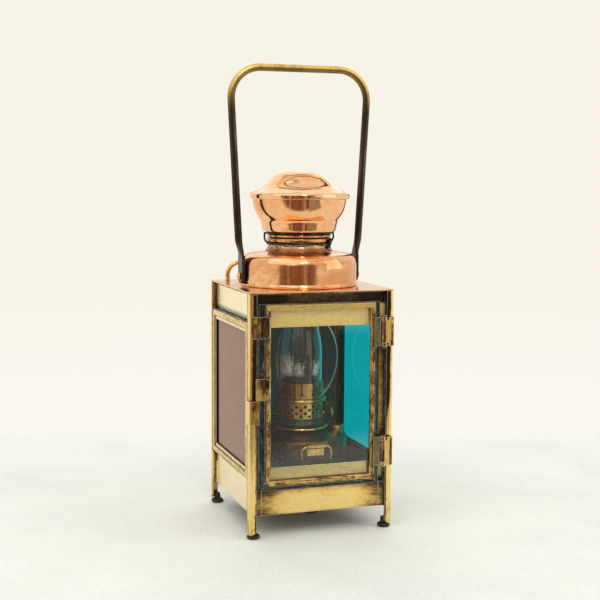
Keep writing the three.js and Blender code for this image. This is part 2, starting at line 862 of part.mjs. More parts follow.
// The wire round the neck, with a hook up to the cup on each side and a twisted knot at the front
function tieDown() {
  const height = bodyHeight + tieRise;
  const radius = neckRadius + seatGap + tieWire;
  const ring = new THREE.TorusGeometry(radius, tieWire, tieSides, fineSides).translate(0, 0, height);
  const hookTop = bodyHeight + cupFoot - seatGap;
  const hooks = [1, -1].map((side) => {
    const bend = radius + tieSpread;
    const corners = [
      at(side * radius, 0, height), at(side * bend, 0, height + tieSpread), at(side * bend, 0, hookTop),
    ];
    return wire(filleted(corners, [tieSpread / 2], 4), tieWire, tieSides);
  });
  const strands = [0, 1 / 2].map((phase) => {
    const points = Array.from({ length: knotSteps + 1 }, (_, i) => {
      const share = i / knotSteps;
      const rise = knotReach * (share - 1 / 3);
      const centre = onCircle(radius + tieWire * (1 + 2 * share), knotBearing, height + rise);
      const turn = 2 * Math.PI * (phase + share * knotTurns);
      const out = onCircle(1, knotBearing, 0);
      const across = onCircle(1, knotBearing + 90, 0);
      const offset = out.multiplyScalar(Math.cos(turn)).addScaledVector(across, Math.sin(turn));
      return centre.addScaledVector(offset, tieWire * 0.8);
    });
    return wire(points, tieWire, tieSides);
  });
  return joined([ring, ...hooks, ...strands].map(solid));
}

// The flattened end of a bail leg, in the YZ plane with its hole at the origin
function bailEye(side) {
  const outline = new THREE.Shape(
    [
      ...arc([0, 0], eyeRadius, 180, 360, 8),
      [eyeRadius, eyeStraight], [bailWire, eyeNeck], [-bailWire, eyeNeck], [-eyeRadius, eyeStraight],
    ].map(([x, y]) => new THREE.Vector2(x, y)),
  );
  outline.holes = [round(rivetRadius + runGap, smallSides)];
  const geometry = new THREE.ExtrudeGeometry(outline, { depth: eyeThick, bevelEnabled: false });
  geometry.rotateX(Math.PI / 2).rotateZ(Math.PI / 2);
  return solid(geometry.translate(side * bailFootHalf - eyeThick / 2, 0, pivotHeight));
}

function bail() {
  const top = bodyHeight + bailRise - bailWire;
  const foot = pivotHeight + eyeStraight;
  const footHalf = bailFootHalf + bailWire - eyeThick / 2;
  const lean = (bailHalf - footHalf) / (top - bailCorner - foot);
  const halfAt = (height) => footHalf + lean * (height - foot);
  const corners = [
    at(-halfAt(foot), 0, foot), at(-halfAt(top), 0, top), at(halfAt(top), 0, top), at(halfAt(foot), 0, foot),
  ];
  const rod = solid(wire(filleted(corners, [bailCorner, bailCorner], 8), bailWire, smallSides));
  return joined([rod, bailEye(-1), bailEye(1)]);
}

// A bail rivet along +X: a flange on the drum, a shank and a domed head
function bailRivet() {
  const start = drumRadius + seatGap;
  const outer = bailFootHalf + eyeThick / 2 + runGap;
  const inner = bailFootHalf - eyeThick / 2 - runGap;
  const outline = [
    [0, start], [rivetHeadRadius, start], [rivetHeadRadius, Math.max(inner - seatGap / 2, start + seatGap)],
    [rivetRadius, Math.max(inner, start + rivetFlange)],
    [rivetRadius, outer], [rivetHeadRadius, outer], [rivetHeadRadius, outer + rivetHead / 3],
    [rivetHeadRadius * 0.7, outer + rivetHead * 0.8], [0, outer + rivetHead],
  ];
  return solid(turnedShape(outline, smallSides).rotateY(Math.PI / 2).translate(0, 0, pivotHeight));
}

// The wire loop that stands on the plate's back edge
function rearLoop() {
  const top = headFoot + loopRise;
  const corners = [
    at(-loopHalf, loopBack, headFoot), at(-loopHalf, loopBack, top),
    at(loopHalf, loopBack, top), at(loopHalf, loopBack, headFoot),
  ];
  const hoop = solid(wire(filleted(corners, [loopCorner, loopCorner], 6), loopWire, smallSides));
  const pads = [-1, 1].map((side) => {
    const x = side * loopHalf;
    return block(
      [x - loopPad, loopBack - loopPad, headFoot],
      [x + loopPad, loopBack + loopPad - plateInset, headFoot + loopPadThick],
    );
  });
  return joined([hoop, ...pads]);
}

// The dished reflector, opening towards the door
function reflector() {
  const flat = reflectorRadius - reflectorLip;
  const steps = 5;
  const dish = Array.from({ length: steps + 1 }, (_, i) => {
    const share = i / steps;
    return [flat * share, -reflectorDepth * (1 - share * share)];
  });
  const outline = [...dish, [reflectorRadius, 0], [reflectorRadius, reflectorLip]];
  return solid(turnedShape(skin(outline, reflectorSheet), fineSides).rotateX(Math.PI / 2));
}

function font() {
  const edge = fontRadius - fontEdge;
  const outline = [
    [0, fontFoot], [edge, fontFoot], [fontRadius, fontFoot + fontEdge],
    [fontRadius, fontTop - 2 * fontEdge], [edge, fontTop - fontEdge / 2], [edge - fontEdge, fontTop],
    [(edge + fontHole) / 2, fontTop + (fontCrown - fontTop) * 0.62], [fontHole, fontCrown],
  ];
  const hole = [fillerAcross, -fillerForward];
  const [low, high] = [fontTop - 2 * fillerSink, fontCrown + overrun];
  const cutter = bar([...hole, low], [...hole, high], fillerRadius + seatGap, coarseSides);
  return turned(skin(outline, fontSheet), fineSides).subtract(cutter);
}

function fillerNeck() {
  const foot = fillerTop - fillerSink;
  return turned(
    [[fillerRadius, foot], [fillerRadius, fillerTop], [fillerBore, fillerTop], [fillerBore, foot]],
    coarseSides,
  );
}

// The filler cap: a ribbed skirt round the neck under a low crown
function fillerCap() {
  const inner = fillerRadius + seatGap;
  const outer = inner + fillerCapSheet;
  const foot = fillerTop - seatGap;
  const ribs = Array.from({ length: 2 * fillerRibs }, (_, i) => {
    const radius = outer + (i % 2) * (fillerCapSheet / 3);
    const [point] = arc([0, 0], radius, (i * 180) / fillerRibs, 360, 1);
    return point;
  });
  const body = solid(extruded(ribs, foot, fillerCapRise - fillerCapSheet));
  const crown = turned(
    [
      [0, foot + fillerCapRise - 2 * fillerCapSheet], [outer, foot + fillerCapRise - 2 * fillerCapSheet],
      [outer - fillerCapSheet, foot + fillerCapRise - fillerCapSheet / 4], [0, foot + fillerCapRise],
    ],
    coarseSides,
  );
  const well = turned(
    [[0, foot - overrun], [inner, foot - overrun], [inner, fillerTop + seatGap], [0, fillerTop + seatGap]],
    coarseSides,
  );
  return body.add(crown).subtract(well);
}

// The rim on the floor that keeps the font in place
function lampTray() {
  const inner = fontRadius + seatGap;
  const outline = [
    [inner, fontFoot], [inner + traySheet, fontFoot],
    [inner + traySheet, fontFoot + trayHeight], [inner, fontFoot + trayHeight],
  ];
  return turned(outline, fineSides);
}

// The clip that is rolled round the ring pull's top bar and soldered to the font
function pullClip() {
  const bore = ringWire + pinPlay;
  const roll = bore + clipSheet;
  const axis = (x) => [x, -ringForward, ringHeight];
  const barrel = bar(axis(-clipHalf), axis(clipHalf), roll, smallSides);
  const back = -fontRadius - seatGap;
  const tail = block([-clipHalf, back - clipSheet, ringHeight - clipTail], [clipHalf, back, ringHeight]);
  return barrel.add(tail).subtract(bar(axis(-half), axis(half), bore, smallSides));
}

function ringPull() {
  const y = -ringForward;
  const [top, low] = [ringHeight, ringHeight - ringReach];
  const corners = [
    at(seatGap / 2, y, top), at(ringHalf, y, top), at(ringNarrow, y, low),
    at(-ringNarrow, y, low), at(-ringHalf, y, top), at(-seatGap / 2, y, top),
  ];
  const radii = [ringCorner, ringEndCorner, ringEndCorner, ringCorner];
  return wire(filleted(corners, radii, 5), ringWire, 8);
}

// The screw collar on the font, with two turned ridges
function burnerCollar() {
  const [r, e] = [burnerRadius, collarRidge];
  const plug = fontHole - runGap;
  const shoulder = collarFoot + 4 * collarSheet;
  const outline = [
    [plug, collarFoot - collarPlug], [plug, collarFoot], [collarRadius - e, collarFoot],
    [collarRadius, collarFoot + collarSheet], [collarRadius - e, collarFoot + 2 * collarSheet],
    [r + 2 * e, shoulder - e], [r, shoulder],
    [r, shoulder + e], [r + e, shoulder + 2 * e], [r, shoulder + 3 * e],
    [r, shoulder + 4 * e], [r + e, shoulder + 5 * e], [r, shoulder + 6 * e], [r, collarTop],
    [r - collarSheet, collarTop], [r - collarSheet, shoulder], [plug - collarSheet, collarFoot + collarSheet],
    [plug - collarSheet, collarFoot - collarPlug],
  ];
  return turned(outline, midSides);
}

// The perforated shell of the burner, with a boss where the wick shaft passes out
function burnerShell() {
  const foot = collarTop + seatGap;
  const outline = [[burnerRadius, foot], [burnerRadius, shellTop]];
  const tube = turned(skin(outline, burnerSheet), 2 * ventHoles);
  const holes = [];
  for (let row = 0; row < ventRows; row += 1) {
    for (let i = 0; i < ventHoles; i += 1) {
      const bearing = (i + (row % 2) / 2) * (360 / ventHoles) + 90 / ventHoles;
      const height = ventFoot + row * ventPitch;
      const from = onCircle(burnerRadius - overrun, bearing, height).toArray();
      const to = onCircle(burnerRadius + overrun, bearing, height).toArray();
      holes.push(bar(from, to, ventHoleRadius, ventSides));
    }
  }
  const shaft = (x) => [x, -shaftForward, shaftHeight];
  const wallHere = Math.sqrt(burnerRadius ** 2 - shaftForward ** 2);
  const boss = bar(shaft(wallHere - burnerSheet), shaft(wallHere + bossReach), bossRadius, smallSides);
  const bore = bar(shaft(0), shaft(half), shaftRadius + pinPlay, smallSides);
  return tube.subtract(joined(holes)).add(boss).subtract(bore);
}

// The rounded ring that the gallery stands on
function galleryRest() {
  const foot = shellTop + seatGap;
  const outline = [
    [restHole, foot], [restRadius - restThick / 4, foot], [restRadius, foot + restThick / 3],
    [restRadius, foot + restThick * 0.67], [restRadius - restThick / 4, foot + restThick],
    [restHole, foot + restThick],
  ];
  return turned(outline, midSides);
}

// The slotted gallery that grips the chimney
function gallery() {
  const top = galleryFoot + galleryHeight;
  const outline = [
    [restHole - burnerSheet, galleryFoot], [galleryRadius, galleryFoot], [galleryRadius, top],
  ];
  const cup = turned(skin(outline, burnerSheet), 4 * gallerySlots);
  const cutters = [];
  for (let i = 0; i < gallerySlots; i += 1) {
    const bearing = (i + 1 / 2) * (360 / gallerySlots);
    const low = galleryFoot + slotFoot;
    const slot = new THREE.BoxGeometry(2 * overrun, slotWidth, galleryHeight);
    slot.translate(galleryRadius, 0, low + galleryHeight / 2);
    cutters.push(solid(slot.rotateZ(THREE.MathUtils.degToRad(bearing))));
    const from = onCircle(galleryRadius - overrun, bearing, low).toArray();
    const to = onCircle(galleryRadius + overrun, bearing, low).toArray();
    cutters.push(bar(from, to, keyholeRadius, 6));
  }
  return cup.subtract(joined(cutters));
}

function chimney() {
  const shares = [
    [1, 0], [1, 0.5], [0.985, 0.57], [0.93, 0.67], [0.85, 0.77], [0.79, 0.87], [0.76, 1],
  ];
  const outline = shaped(shares, chimneyRadius, chimneyHeight, lampSeat);
  return turned(skin(outline, chimneyGlass), midSides);
}

// The flame spreader over the wick tube, slotted across its top
function spreader() {
  const shares = [
    [1, 0], [1, 0.045], [0.863, 0.29], [0.685, 0.55], [0.536, 0.78], [0.43, 0.93], [0, 1],
  ];
  const dome = turned(skin(shaped(shares, domeRadius, domeHeight, lampSeat), domeSheet), midSides);
  const slot = block(
    [-domeSlotHalf, -domeSlot / 2, domeTop - domeSlotDepth],
    [domeSlotHalf, domeSlot / 2, domeTop + overrun],
  );
  return dome.subtract(slot);
}

const wick = () => block([-wickHalf, -wickThick / 2, wickFoot], [wickHalf, wickThick / 2, wickTop]);

// The flat tube round the wick, on a disc in the collar, with a window for the raiser's wheel
function wickTube() {
  const inner = [wickHalf + runGap, wickThick / 2 + runGap];
  const outer = inner.map((size) => size + tubeSheet);
  const body = block([-outer[0], -outer[1], wickTubeFoot], [outer[0], outer[1], wickTubeTop]);
  const disc = bar([0, 0, wickDiscHeight], [0, 0, wickDiscHeight + tubeSheet], wickDisc, midSides);
  const bore = block(
    [-inner[0], -inner[1], wickTubeFoot - overrun],
    [inner[0], inner[1], wickTubeTop + overrun],
  );
  const reach = wheelHalf + runGap;
  const rise = wheelRadius + runGap;
  const window = block([-reach, -outer[1] - overrun, shaftHeight - rise], [reach, 0, shaftHeight + rise]);
  return body.add(disc).subtract(bore).subtract(window);
}

// A wheel of teeth or flutes along +X, between two places
function cogged(radius, depth, count, from, to) {
  const rim = Array.from({ length: 2 * count }, (_, i) => {
    const angle = (i * Math.PI) / count;
    const reach = radius - (i % 2) * depth;
    return new THREE.Vector2(reach * Math.cos(angle), reach * Math.sin(angle));
  });
  const geometry = new THREE.ExtrudeGeometry(new THREE.Shape(rim), { depth: to - from, bevelEnabled: false });
  return solid(geometry.rotateY(Math.PI / 2).translate(from, 0, 0));
}

function wickShaft() {
  const rod = bar([-wheelHalf - overrun, 0, 0], [shaftOuter, 0, 0], shaftRadius, smallSides);
  const wheel = cogged(wheelRadius, wheelTooth, wheelTeeth, -wheelHalf, wheelHalf);
  return rod.add(wheel);
}

const wickKnob = () =>
  cogged(knobRadius, knobFlute, knobFlutes, shaftOuter + seatGap, shaftOuter + seatGap + knobThick);

// The box: posts, feet, plate, floor and walls
const quarters = ["front_left", "front_right", "rear_right", "rear_left"];
const postBody = cornerPost();
const footBody = foot();
for (const [turns, corner] of quarters.entries()) {
  const quarter = new THREE.Group();
  quarter.rotation.z = turns * (Math.PI / 2);
  lantern.add(quarter);
  add(`post_${corner}`, postBody, agedBrass, quarter).position.set(-half, -half, 0);
  const inset = -half + footInset;
  add(`foot_${corner}`, footBody, rubber, quarter).position.set(inset, inset, 0);
}
add("top_plate", topPlate(), copper);
add("floor_panel", floorPanel(), darkBrass);
add("floor_stud", floorStud(), darkBrass).position.set(studRight, -studForward, 0);
add("front_surround", frontSurround(), paleBrass);
add("back_panel", wallPanel(panelFoot, wallTop), agedBrass).rotation.z = Math.PI;

// The two coloured windows and the panels above and below them
const flanks = [
  ["left", -1, redGlass],
  ["right", 1, tealGlass],
];
for (const [name, side, glass] of flanks) {
  const flank = new THREE.Group();
  flank.rotation.z = side * (Math.PI / 2);
  lantern.add(flank);
  add(`${name}_lower_panel`, wallPanel(panelFoot, windowFoot - seatGap, true), paleBrass, flank);
  add(`${name}_upper_panel`, wallPanel(windowTop + seatGap, wallTop), paleBrass, flank);
  const depth = windowDepth - beadRise;
  const frame = glazedFrame(windowOuter, windowOpening, windowFace, depth, windowOuter, windowBead);
  add(`${name}_window_frame`, frame, paleBrass, flank);
  add(`${name}_window_glass`, pane(windowOpening, windowFace), glass, flank);
}

// The door with its hinges, catch and latch
const doorBody = glazedFrame(doorOuter, doorOpening, doorFlat, doorDepth - beadRise, doorChannel, doorBead);
add("door_frame", doorBody, darkBrass);
add("door_glass", pane(doorOpening, doorFlat), clearGlass);
const levels = [
  ["lower", doorFoot + hingeRise],
  ["upper", doorTop - hingeDrop],
];
for (const [name, height] of levels) {
  add(`hinge_leaf_${name}`, hingeLeaf(), solderedBrass).position.z = height;
  add(`hinge_bracket_${name}`, hingeBracket(), agedBrass).position.z = height;
  add(`hinge_pin_${name}`, hingePin(), darkBrass).position.set(hingeAcross, -hingeForward, height);
}
add("door_catch", lapStrap(catchOuter, catchFoot, catchHeight, true), solderedBrass);
add("latch_tongue", lapStrap(tongueOuter, tongueFoot, tongueHeight, false), solderedBrass);
add("latch_sleeve", latchSleeve(), paleBrass);

// The vent head, the bail and the rear loop
add("vent_drum", ventDrum(), copper);
add("vent_neck", ventNeck(), solderedBrass);
add("vent_cup", ventCup(), copper);
add("draught_tube", draughtTube(), copper);
add("rain_cap", rainCap(), copper);
add("tie_wire", tieDown(), solderedBrass);
add("bail", bail(), darkBrass);
add("bail_rivet_right", bailRivet(), copper);
add("bail_rivet_left", bailRivet(), copper).rotation.z = Math.PI;
add("rear_loop", rearLoop(), agedBrass);
add("reflector", reflector(), tinned).position.set(0, reflectorBack, reflectorHeight);

// The lamp
const lamp = new THREE.Group();
lamp.position.y = lampBack;
lantern.add(lamp);
add("lamp_tray", lampTray(), darkBrass, lamp);
add("lamp_font", font(), tinned, lamp);
add("filler_neck", fillerNeck(), agedBrass, lamp).position.set(fillerAcross, -fillerForward, 0);
add("filler_cap", fillerCap(), paleBrass, lamp).position.set(fillerAcross, -fillerForward, 0);
add("pull_clip", pullClip(), paleBrass, lamp);
add("ring_pull", ringPull(), agedBrass, lamp);
add("burner_collar", burnerCollar(), agedBrass, lamp);
add("burner_shell", burnerShell(), paleBrass, lamp);
add("gallery_rest", galleryRest(), paleBrass, lamp);
add("chimney_gallery", gallery(), paleBrass, lamp);
add("glass_chimney", chimney(), clearGlass, lamp);
add("flame_spreader", spreader(), blackened, lamp);
add("wick", wick(), cotton, lamp);
add("wick_tube", wickTube(), agedBrass, lamp);
add("wick_shaft", wickShaft(), darkBrass, lamp).position.set(0, -shaftForward, shaftHeight);
add("wick_knob", wickKnob(), agedBrass, lamp).position.set(0, -shaftForward, shaftHeight);

// The origin lies on the ground, midway between the hinges' front and the rear feet's back
lantern.position.y = (frontReach - rearReach) / 2;

export default lantern;
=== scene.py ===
"""The looks of the railroad hand lantern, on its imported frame. Metres; Z is up and the door faces -Y."""

import fnmatch
import math
import random
from functools import cached_property

import bmesh
import bpy
from mathutils import Matrix, Vector, noise


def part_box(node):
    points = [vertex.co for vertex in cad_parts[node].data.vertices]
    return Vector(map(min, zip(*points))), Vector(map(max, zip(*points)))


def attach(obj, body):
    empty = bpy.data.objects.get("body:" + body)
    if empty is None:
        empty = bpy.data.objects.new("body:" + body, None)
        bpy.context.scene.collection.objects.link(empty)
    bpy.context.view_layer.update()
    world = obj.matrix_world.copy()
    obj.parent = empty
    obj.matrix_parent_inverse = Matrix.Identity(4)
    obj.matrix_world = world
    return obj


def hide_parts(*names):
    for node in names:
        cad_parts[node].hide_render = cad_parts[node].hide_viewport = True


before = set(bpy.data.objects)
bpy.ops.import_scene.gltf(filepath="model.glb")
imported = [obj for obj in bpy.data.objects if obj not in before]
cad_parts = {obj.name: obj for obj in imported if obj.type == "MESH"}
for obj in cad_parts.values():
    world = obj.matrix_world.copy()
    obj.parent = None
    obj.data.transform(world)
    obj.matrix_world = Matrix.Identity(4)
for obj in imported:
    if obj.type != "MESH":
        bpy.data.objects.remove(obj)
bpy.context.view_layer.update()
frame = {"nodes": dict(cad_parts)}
NODES = frame["nodes"]

# Sizes in millimetres, as (left, right, low, high) for the openings
MM = 0.001
HALF = 63.5
HEAD = (0.0, 2.25)
LAMP = (0.0, -2.75)
FILLER = (30.5, -13.75)
BACK = Vector((0, HEAD[1], 0))
DOOR = (-45.2, 42.2, 48.5, 190.3)
WINDOW = (-46.7 + HEAD[1], 46.7 + HEAD[1], 58.5, 171.2)
FOOT_OUT = 58.3
PIVOT = 213.3
BAIL_TOP, BAIL_REACH, BAIL_CORNER, BAIL_FOOT = 390.8, 61.3, 26, 233.3
MIRROR_RISE, MIRROR_RADIUS, MIRROR_DEPTH, MIRROR_BACK = 133.5, 50.9, 16, 42.5
NECK_WIRE, WIRE_RISE, WIRE_TOP = 27.9, 241.8, 250.5
FONT_SHOULDER, FILLER_HOLE = 73.5, 5.1
KNOB = (LAMP[0], LAMP[1] - 4.9, 92.5)
PULL_FRONT = LAMP[1] - 43.3
SHEET = 0.8

# Numbers of sides, and the angle in degrees past which an edge is sharp
FINE, MEDIUM, SMALL = 128, 96, 48
SHARP = 32

# Camera, fitted to the photograph's frame of 600 by 600
EYE = (-329.70, -969.96, 300.03)
YAW, PITCH, ROLL = 0.3280, -0.1055, 0.0064
FOCAL_PX, FRAME_PX, SENSOR = 1179.8, 600.0, 36.0

# Studio, in metres and watts: each light's place, size, power and colour. In gloss a light adds to the room
# behind it, so the room darkens there, between two cosines of the angle from the light.
AIM = Vector((0, 0, 0.16))
LIGHTS = {
    "key": ((-0.75, -0.55, 1.25), (1.55, 1.55), 6.4, (1.0, 0.985, 0.96), (0.80, 0.90)),
    "fill": ((1.05, -0.7, 0.75), (0.95, 1.15), 3.4, (1.0, 0.98, 0.96), (0.88, 0.94)),
    "back": ((0.2, 1.0, 0.95), (1.4, 1.0), 3.4, (1.0, 0.99, 0.98), (0.82, 0.92)),
    "catch": ((-0.15, -1.0, 1.0), (0.16, 0.10), 1.1, (1.0, 1.0, 1.0), None),
}
FLOOR, FLOOR_LOW = (0.885, 0.92, 0.865), (0.80, 0.825, 0.775)
BACKGROUND, HORIZON = (0.94, 0.895, 0.80), (0.96, 0.93, 0.87)
ROOM = {
    "low": (0.95, 0.90, 0.82),
    "high": (0.99, 0.96, 0.91),
    "by_light": (0.46, 0.44, 0.41),
    "corner": (0.36, 0.30, 0.24),
    "doorway": (0.37, 0.40, 0.34),
    "depths": (0.05, 0.10, 0.09),
    "from_below": (0.40, 0.385, 0.31),
    "from_above": (1.0, 0.985, 0.93),
}

# Colours
# The palest brass and the palest solder colours also paint highlights on edges.
BRASS = {
    "rubbed": (0.98, 0.86, 0.58),
    "pale": (0.93, 0.68, 0.27),
    "bright": (0.84, 0.56, 0.18),
    "gold": (0.62, 0.39, 0.11),
    "olive": (0.66, 0.50, 0.15),
    "brown": (0.17, 0.095, 0.036),
    "dark": (0.032, 0.022, 0.014),
    "cream": (1.0, 0.90, 0.56),
    "straw": (0.93, 0.74, 0.38),
    "smoke": (0.11, 0.10, 0.08),
    "slate": (0.04, 0.042, 0.038),
    "soot": (0.02, 0.018, 0.016),
}
SOLDER = {
    "rubbed": (0.62, 0.62, 0.56),
    "light": (0.40, 0.41, 0.36),
    "grey": (0.080, 0.086, 0.072),
    "dark": (0.018, 0.019, 0.016),
}
COPPER = {
    "bright": (0.94, 0.56, 0.30),
    "warm": (0.89, 0.45, 0.20),
    "tarnish": (0.60, 0.25, 0.09),
    "brown": (0.17, 0.062, 0.030),
    "green": (0.13, 0.19, 0.15),
}
GRIME = (0.17, 0.18, 0.125)
BLUSH = (0.93, 0.73, 0.50)
OLIVE = (0.93, 0.70, 0.18)
DULL_OLIVE = (0.50, 0.39, 0.15)
LEAF_GREY = (0.065, 0.07, 0.062)
GRIP = (0.85, 0.58, 0.16)
# The colour of the chimney's painted reflections.
GLARE_WHITE = (0.93, 0.98, 0.86)
# The colour of painted shadow lines.
SHADOW_MAROON = (0.045, 0.008, 0.007)


def shades(metal, names):
    return tuple(metal[name] for name in names.split())


def add_camera():
    forward = Vector((math.sin(YAW) * math.cos(PITCH), math.cos(YAW) * math.cos(PITCH), math.sin(PITCH)))
    right = Vector((math.cos(YAW), -math.sin(YAW), 0))
    up = right.cross(forward)
    level = right * math.cos(ROLL) + up * math.sin(ROLL)
    upright = -right * math.sin(ROLL) + up * math.cos(ROLL)
    data = bpy.data.cameras.new("camera")
    data.sensor_width = SENSOR
    data.lens = SENSOR * FOCAL_PX / FRAME_PX
    camera = bpy.data.objects.new("camera", data)
    bpy.context.scene.collection.objects.link(camera)
    turn = Matrix((level, upright, -forward)).transposed().to_4x4()
    camera.matrix_world = Matrix.Translation(Vector(EYE) * MM) @ turn
    bpy.context.scene.camera = camera


# Materials

class Net:
    """A material's node tree, with short calls for the nodes used here."""

    def __init__(self, name, tree=None):
        if tree is None:
            self.material = bpy.data.materials.new(name)
            self.material.use_nodes = True
            tree = self.material.node_tree
        self.tree = tree
        tree.nodes.clear()

    def node(self, kind, inputs=None, **settings):
        made = self.tree.nodes.new("ShaderNode" + kind)
        for key, value in settings.items():
            setattr(made, key, value)
        for key, value in (inputs or {}).items():
            self.feed(made.inputs[key], value)
        return made

    def feed(self, socket, value):
        if isinstance(value, bpy.types.NodeSocket):
            self.tree.links.new(value, socket)
        elif value is not None:
            if socket.type == "RGBA":
                value = (*value, 1.0)
            socket.default_value = value

    def out(self, kind, inputs=None, output=0, **settings):
        return self.node(kind, inputs, **settings).outputs[output]

    @cached_property
    def place(self):
        return self.out("TexCoord", output="Object")

    @cached_property
    def axes(self):
        """The place in millimetres."""
        grown = self.out("VectorMath", {0: self.place, "Scale": 1 / MM}, operation="SCALE")
        return tuple(self.node("SeparateXYZ", {0: grown}).outputs)

    def math(self, operation, a, b=None, clamp=False):
        return self.out("Math", {0: a, 1: b}, operation=operation, use_clamp=clamp)

    def fold(self, operation, first, *others):
        for other in others:
            first = self.math(operation, first, other)
        return first

    def plus(self, *values):
        return self.fold("ADD", *values)

    def minus(self, a, b):
        return self.math("SUBTRACT", a, b)

    def times(self, *values):
        return self.fold("MULTIPLY", *values)

    def most(self, *values):
        return self.fold("MAXIMUM", *values)

    def off(self, value, centre=0.0):
        """How far a value lies from a centre, either way."""
        return self.math("ABSOLUTE", self.minus(value, centre))

    def radius(self, a, b):
        return self.math("SQRT", self.plus(self.times(a, a), self.times(b, b)))

    def dot(self, a, b):
        return self.out("VectorMath", {0: a, 1: b}, "Value", operation="DOT_PRODUCT")

    def blend(self, weights):
        """A weighted sum of sockets."""
        return self.plus(*(self.times(value, weight) for value, weight in weights))

    def smooth(self, value, low, high, to_low=0.0, to_high=1.0):
        inputs = {"Value": value, "From Min": low, "From Max": high, "To Min": to_low, "To Max": to_high}
        return self.out("MapRange", inputs, interpolation_type="SMOOTHSTEP")

    def within(self, value, low, high, soft):
        """1 between two values, with a soft fall to 0 outside them."""
        return self.times(self.smooth(value, low - soft, low), self.smooth(value, high + soft, high))

    def noise(self, scale, detail=4.0, roughness=0.6, distortion=0.0, stretch=None, shift=None, vector=None):
        vector = vector or self.place
        if stretch or shift:
            inputs = {"Vector": vector, "Scale": stretch or (1, 1, 1), "Location": shift or (0, 0, 0)}
            vector = self.out("Mapping", inputs)
        inputs = {"Vector": vector, "Scale": scale, "Detail": detail}
        inputs.update({"Roughness": roughness, "Distortion": distortion})
        return self.out("TexNoise", inputs, "Fac")

    def ramp(self, value, places, colours):
        made = self.node("ValToRGB", {0: value})
        elements = made.color_ramp.elements
        while len(elements) < len(places):
            elements.new(0.5)
        for element, place, colour in zip(elements, places, colours):
            element.position = place
            element.color = (*colour, 1.0)
        return made.outputs[0]

    def mix(self, share, a, b):
        return self.out("Mix", {0: share, 6: a, 7: b}, 2, data_type="RGBA")

    def edges(self, radius):
        """1 on sharp edges and 0 on flats."""
        bevel = self.out("Bevel", {"Radius": radius}, samples=4)
        true = self.out("NewGeometry", output="Normal")
        return self.smooth(self.dot(bevel, true), 0.995, 0.9)

    def bump(self, height, distance, strength):
        return self.out("Bump", {"Height": height, "Distance": distance, "Strength": strength})

    def coat(self, colour, metallic, roughness, height, distance, strength):
        """The whole surface, with a fine relief of a height times a distance in metres."""
        inputs = {"Base Color": colour, "Metallic": metallic, "Roughness": roughness}
        self.finish(self.out("BsdfPrincipled", {**inputs, "Normal": self.bump(height, distance, strength)}))
        return self.material

    def finish(self, shader, kind="OutputMaterial"):
        self.tree.links.new(shader, self.node(kind).inputs["Surface"])


def patina_brass(
    name, tones, levels, rough=(0.26, 0.5), cover=None, stretch=None, edge_wear_and_shine=0.8, seed=0.0, washes=(), dull=None
):
    """Aged brass: tones laid by noise and a cover mask, with washes of other colours, and bright edges that
    are partly wear and partly a painted highlight.
    """
    net = Net(name)
    shift = (seed, seed * 1.7, seed * 2.3)
    large = net.noise(26, 5, 0.62, 0.4, stretch, shift)
    medium = net.noise(130, 6, 0.70, 0.8, stretch, shift)
    fine = net.noise(650, 4, 0.65, 0.3, stretch, shift)
    patina = net.blend([(large, 0.34), (medium, 0.38), (fine, 0.28)])
    if cover:
        patina = net.math("ADD", patina, cover(net), clamp=True)
    colour = net.ramp(patina, levels, tones)
    for mask, wash in washes:
        colour = net.mix(net.times(mask(net), net.smooth(medium, 0.25, 0.62, 0.55, 1.0)), colour, wash)
    # Bright edges: partly wear, partly a painted highlight.
    rim = net.times(net.edges(0.0009), net.smooth(medium, 0.28, 0.5), edge_wear_and_shine)
    colour = net.mix(rim, colour, BRASS["rubbed"])
    speck = net.smooth(net.noise(1400, 2, 0.5, 0.0, None, shift), 0.66, 0.74)
    colour = net.mix(net.times(speck, 0.5), colour, BRASS["dark"])
    roughness = net.smooth(patina, levels[0], levels[-1], *rough)
    scratch = net.noise(700, 2, 0.5, 0.2, (1, 1, 0.06), shift)
    height = net.blend([(large, 0.9), (medium, 0.12), (scratch, 0.05), (fine, 0.03)])
    return net.coat(colour, dull(net) if dull else 1.0, roughness, height, 0.0009, 0.55)


def post_cover(net):
    """Posts have a painted highlight at their outer corners and painted shade towards the walls, and are dark
    above the latch.
    """
    x, y, z = net.axes
    side = net.minus(HALF, net.off(x))
    depth = net.minus(HALF, net.off(y, HEAD[1]))
    high = net.times(net.smooth(z, 90, 112), net.smooth(net.minus(side, depth), 0, 1))
    reach = net.plus(side, depth, net.times(high, 2.4), net.smooth(y, 30, 32, 0.0, -3.4))
    # Painted highlight on the outer corner, painted shade towards the walls.
    inward = net.smooth(reach, 4.6, 6.6, -0.10, 0.15)
    handled = net.times(net.within(z, 112, 156, 12), 0.05)
    return net.plus(inward, handled, net.smooth(z, 34, 6, 0.0, 0.07))


def sill_cover(net):
    """The front wall: a bright sill with brown ends, brown staining and painted shade under the door's frame,
    and black painted shade under the top plate.
    """
    x, _, z = net.axes
    ends = net.smooth(net.off(x), 24, 57, 0.0, 0.29)
    foot = net.smooth(z, 22, 18.6, 0.0, 0.16)
    # Brown staining and painted shade just under the door's frame.
    seam = net.times(net.smooth(z, 32, 41), net.smooth(z, 52, 44), 0.20)
    # The last term is black painted shade under the top plate.
    return net.plus(ends, foot, seam, net.smooth(z, 193.5, 196, 0.0, 0.37))


def header_wash(net):
    """The olive yellow of the header, behind the door's pane."""
    return net.within(net.axes[2], 170, 192, 2)


def header_dull(net):
    """The header is dull, so it takes the room's light from all sides."""
    return net.smooth(header_wash(net), 0.0, 1.0, 1.0, 0.45)


def sill_shade(net):
    """The dull upper part of the sill, behind the door's pane."""
    z = net.axes[2]
    return net.times(net.smooth(z, 43, 47, 0.0, 0.9), net.smooth(z, 68, 66))


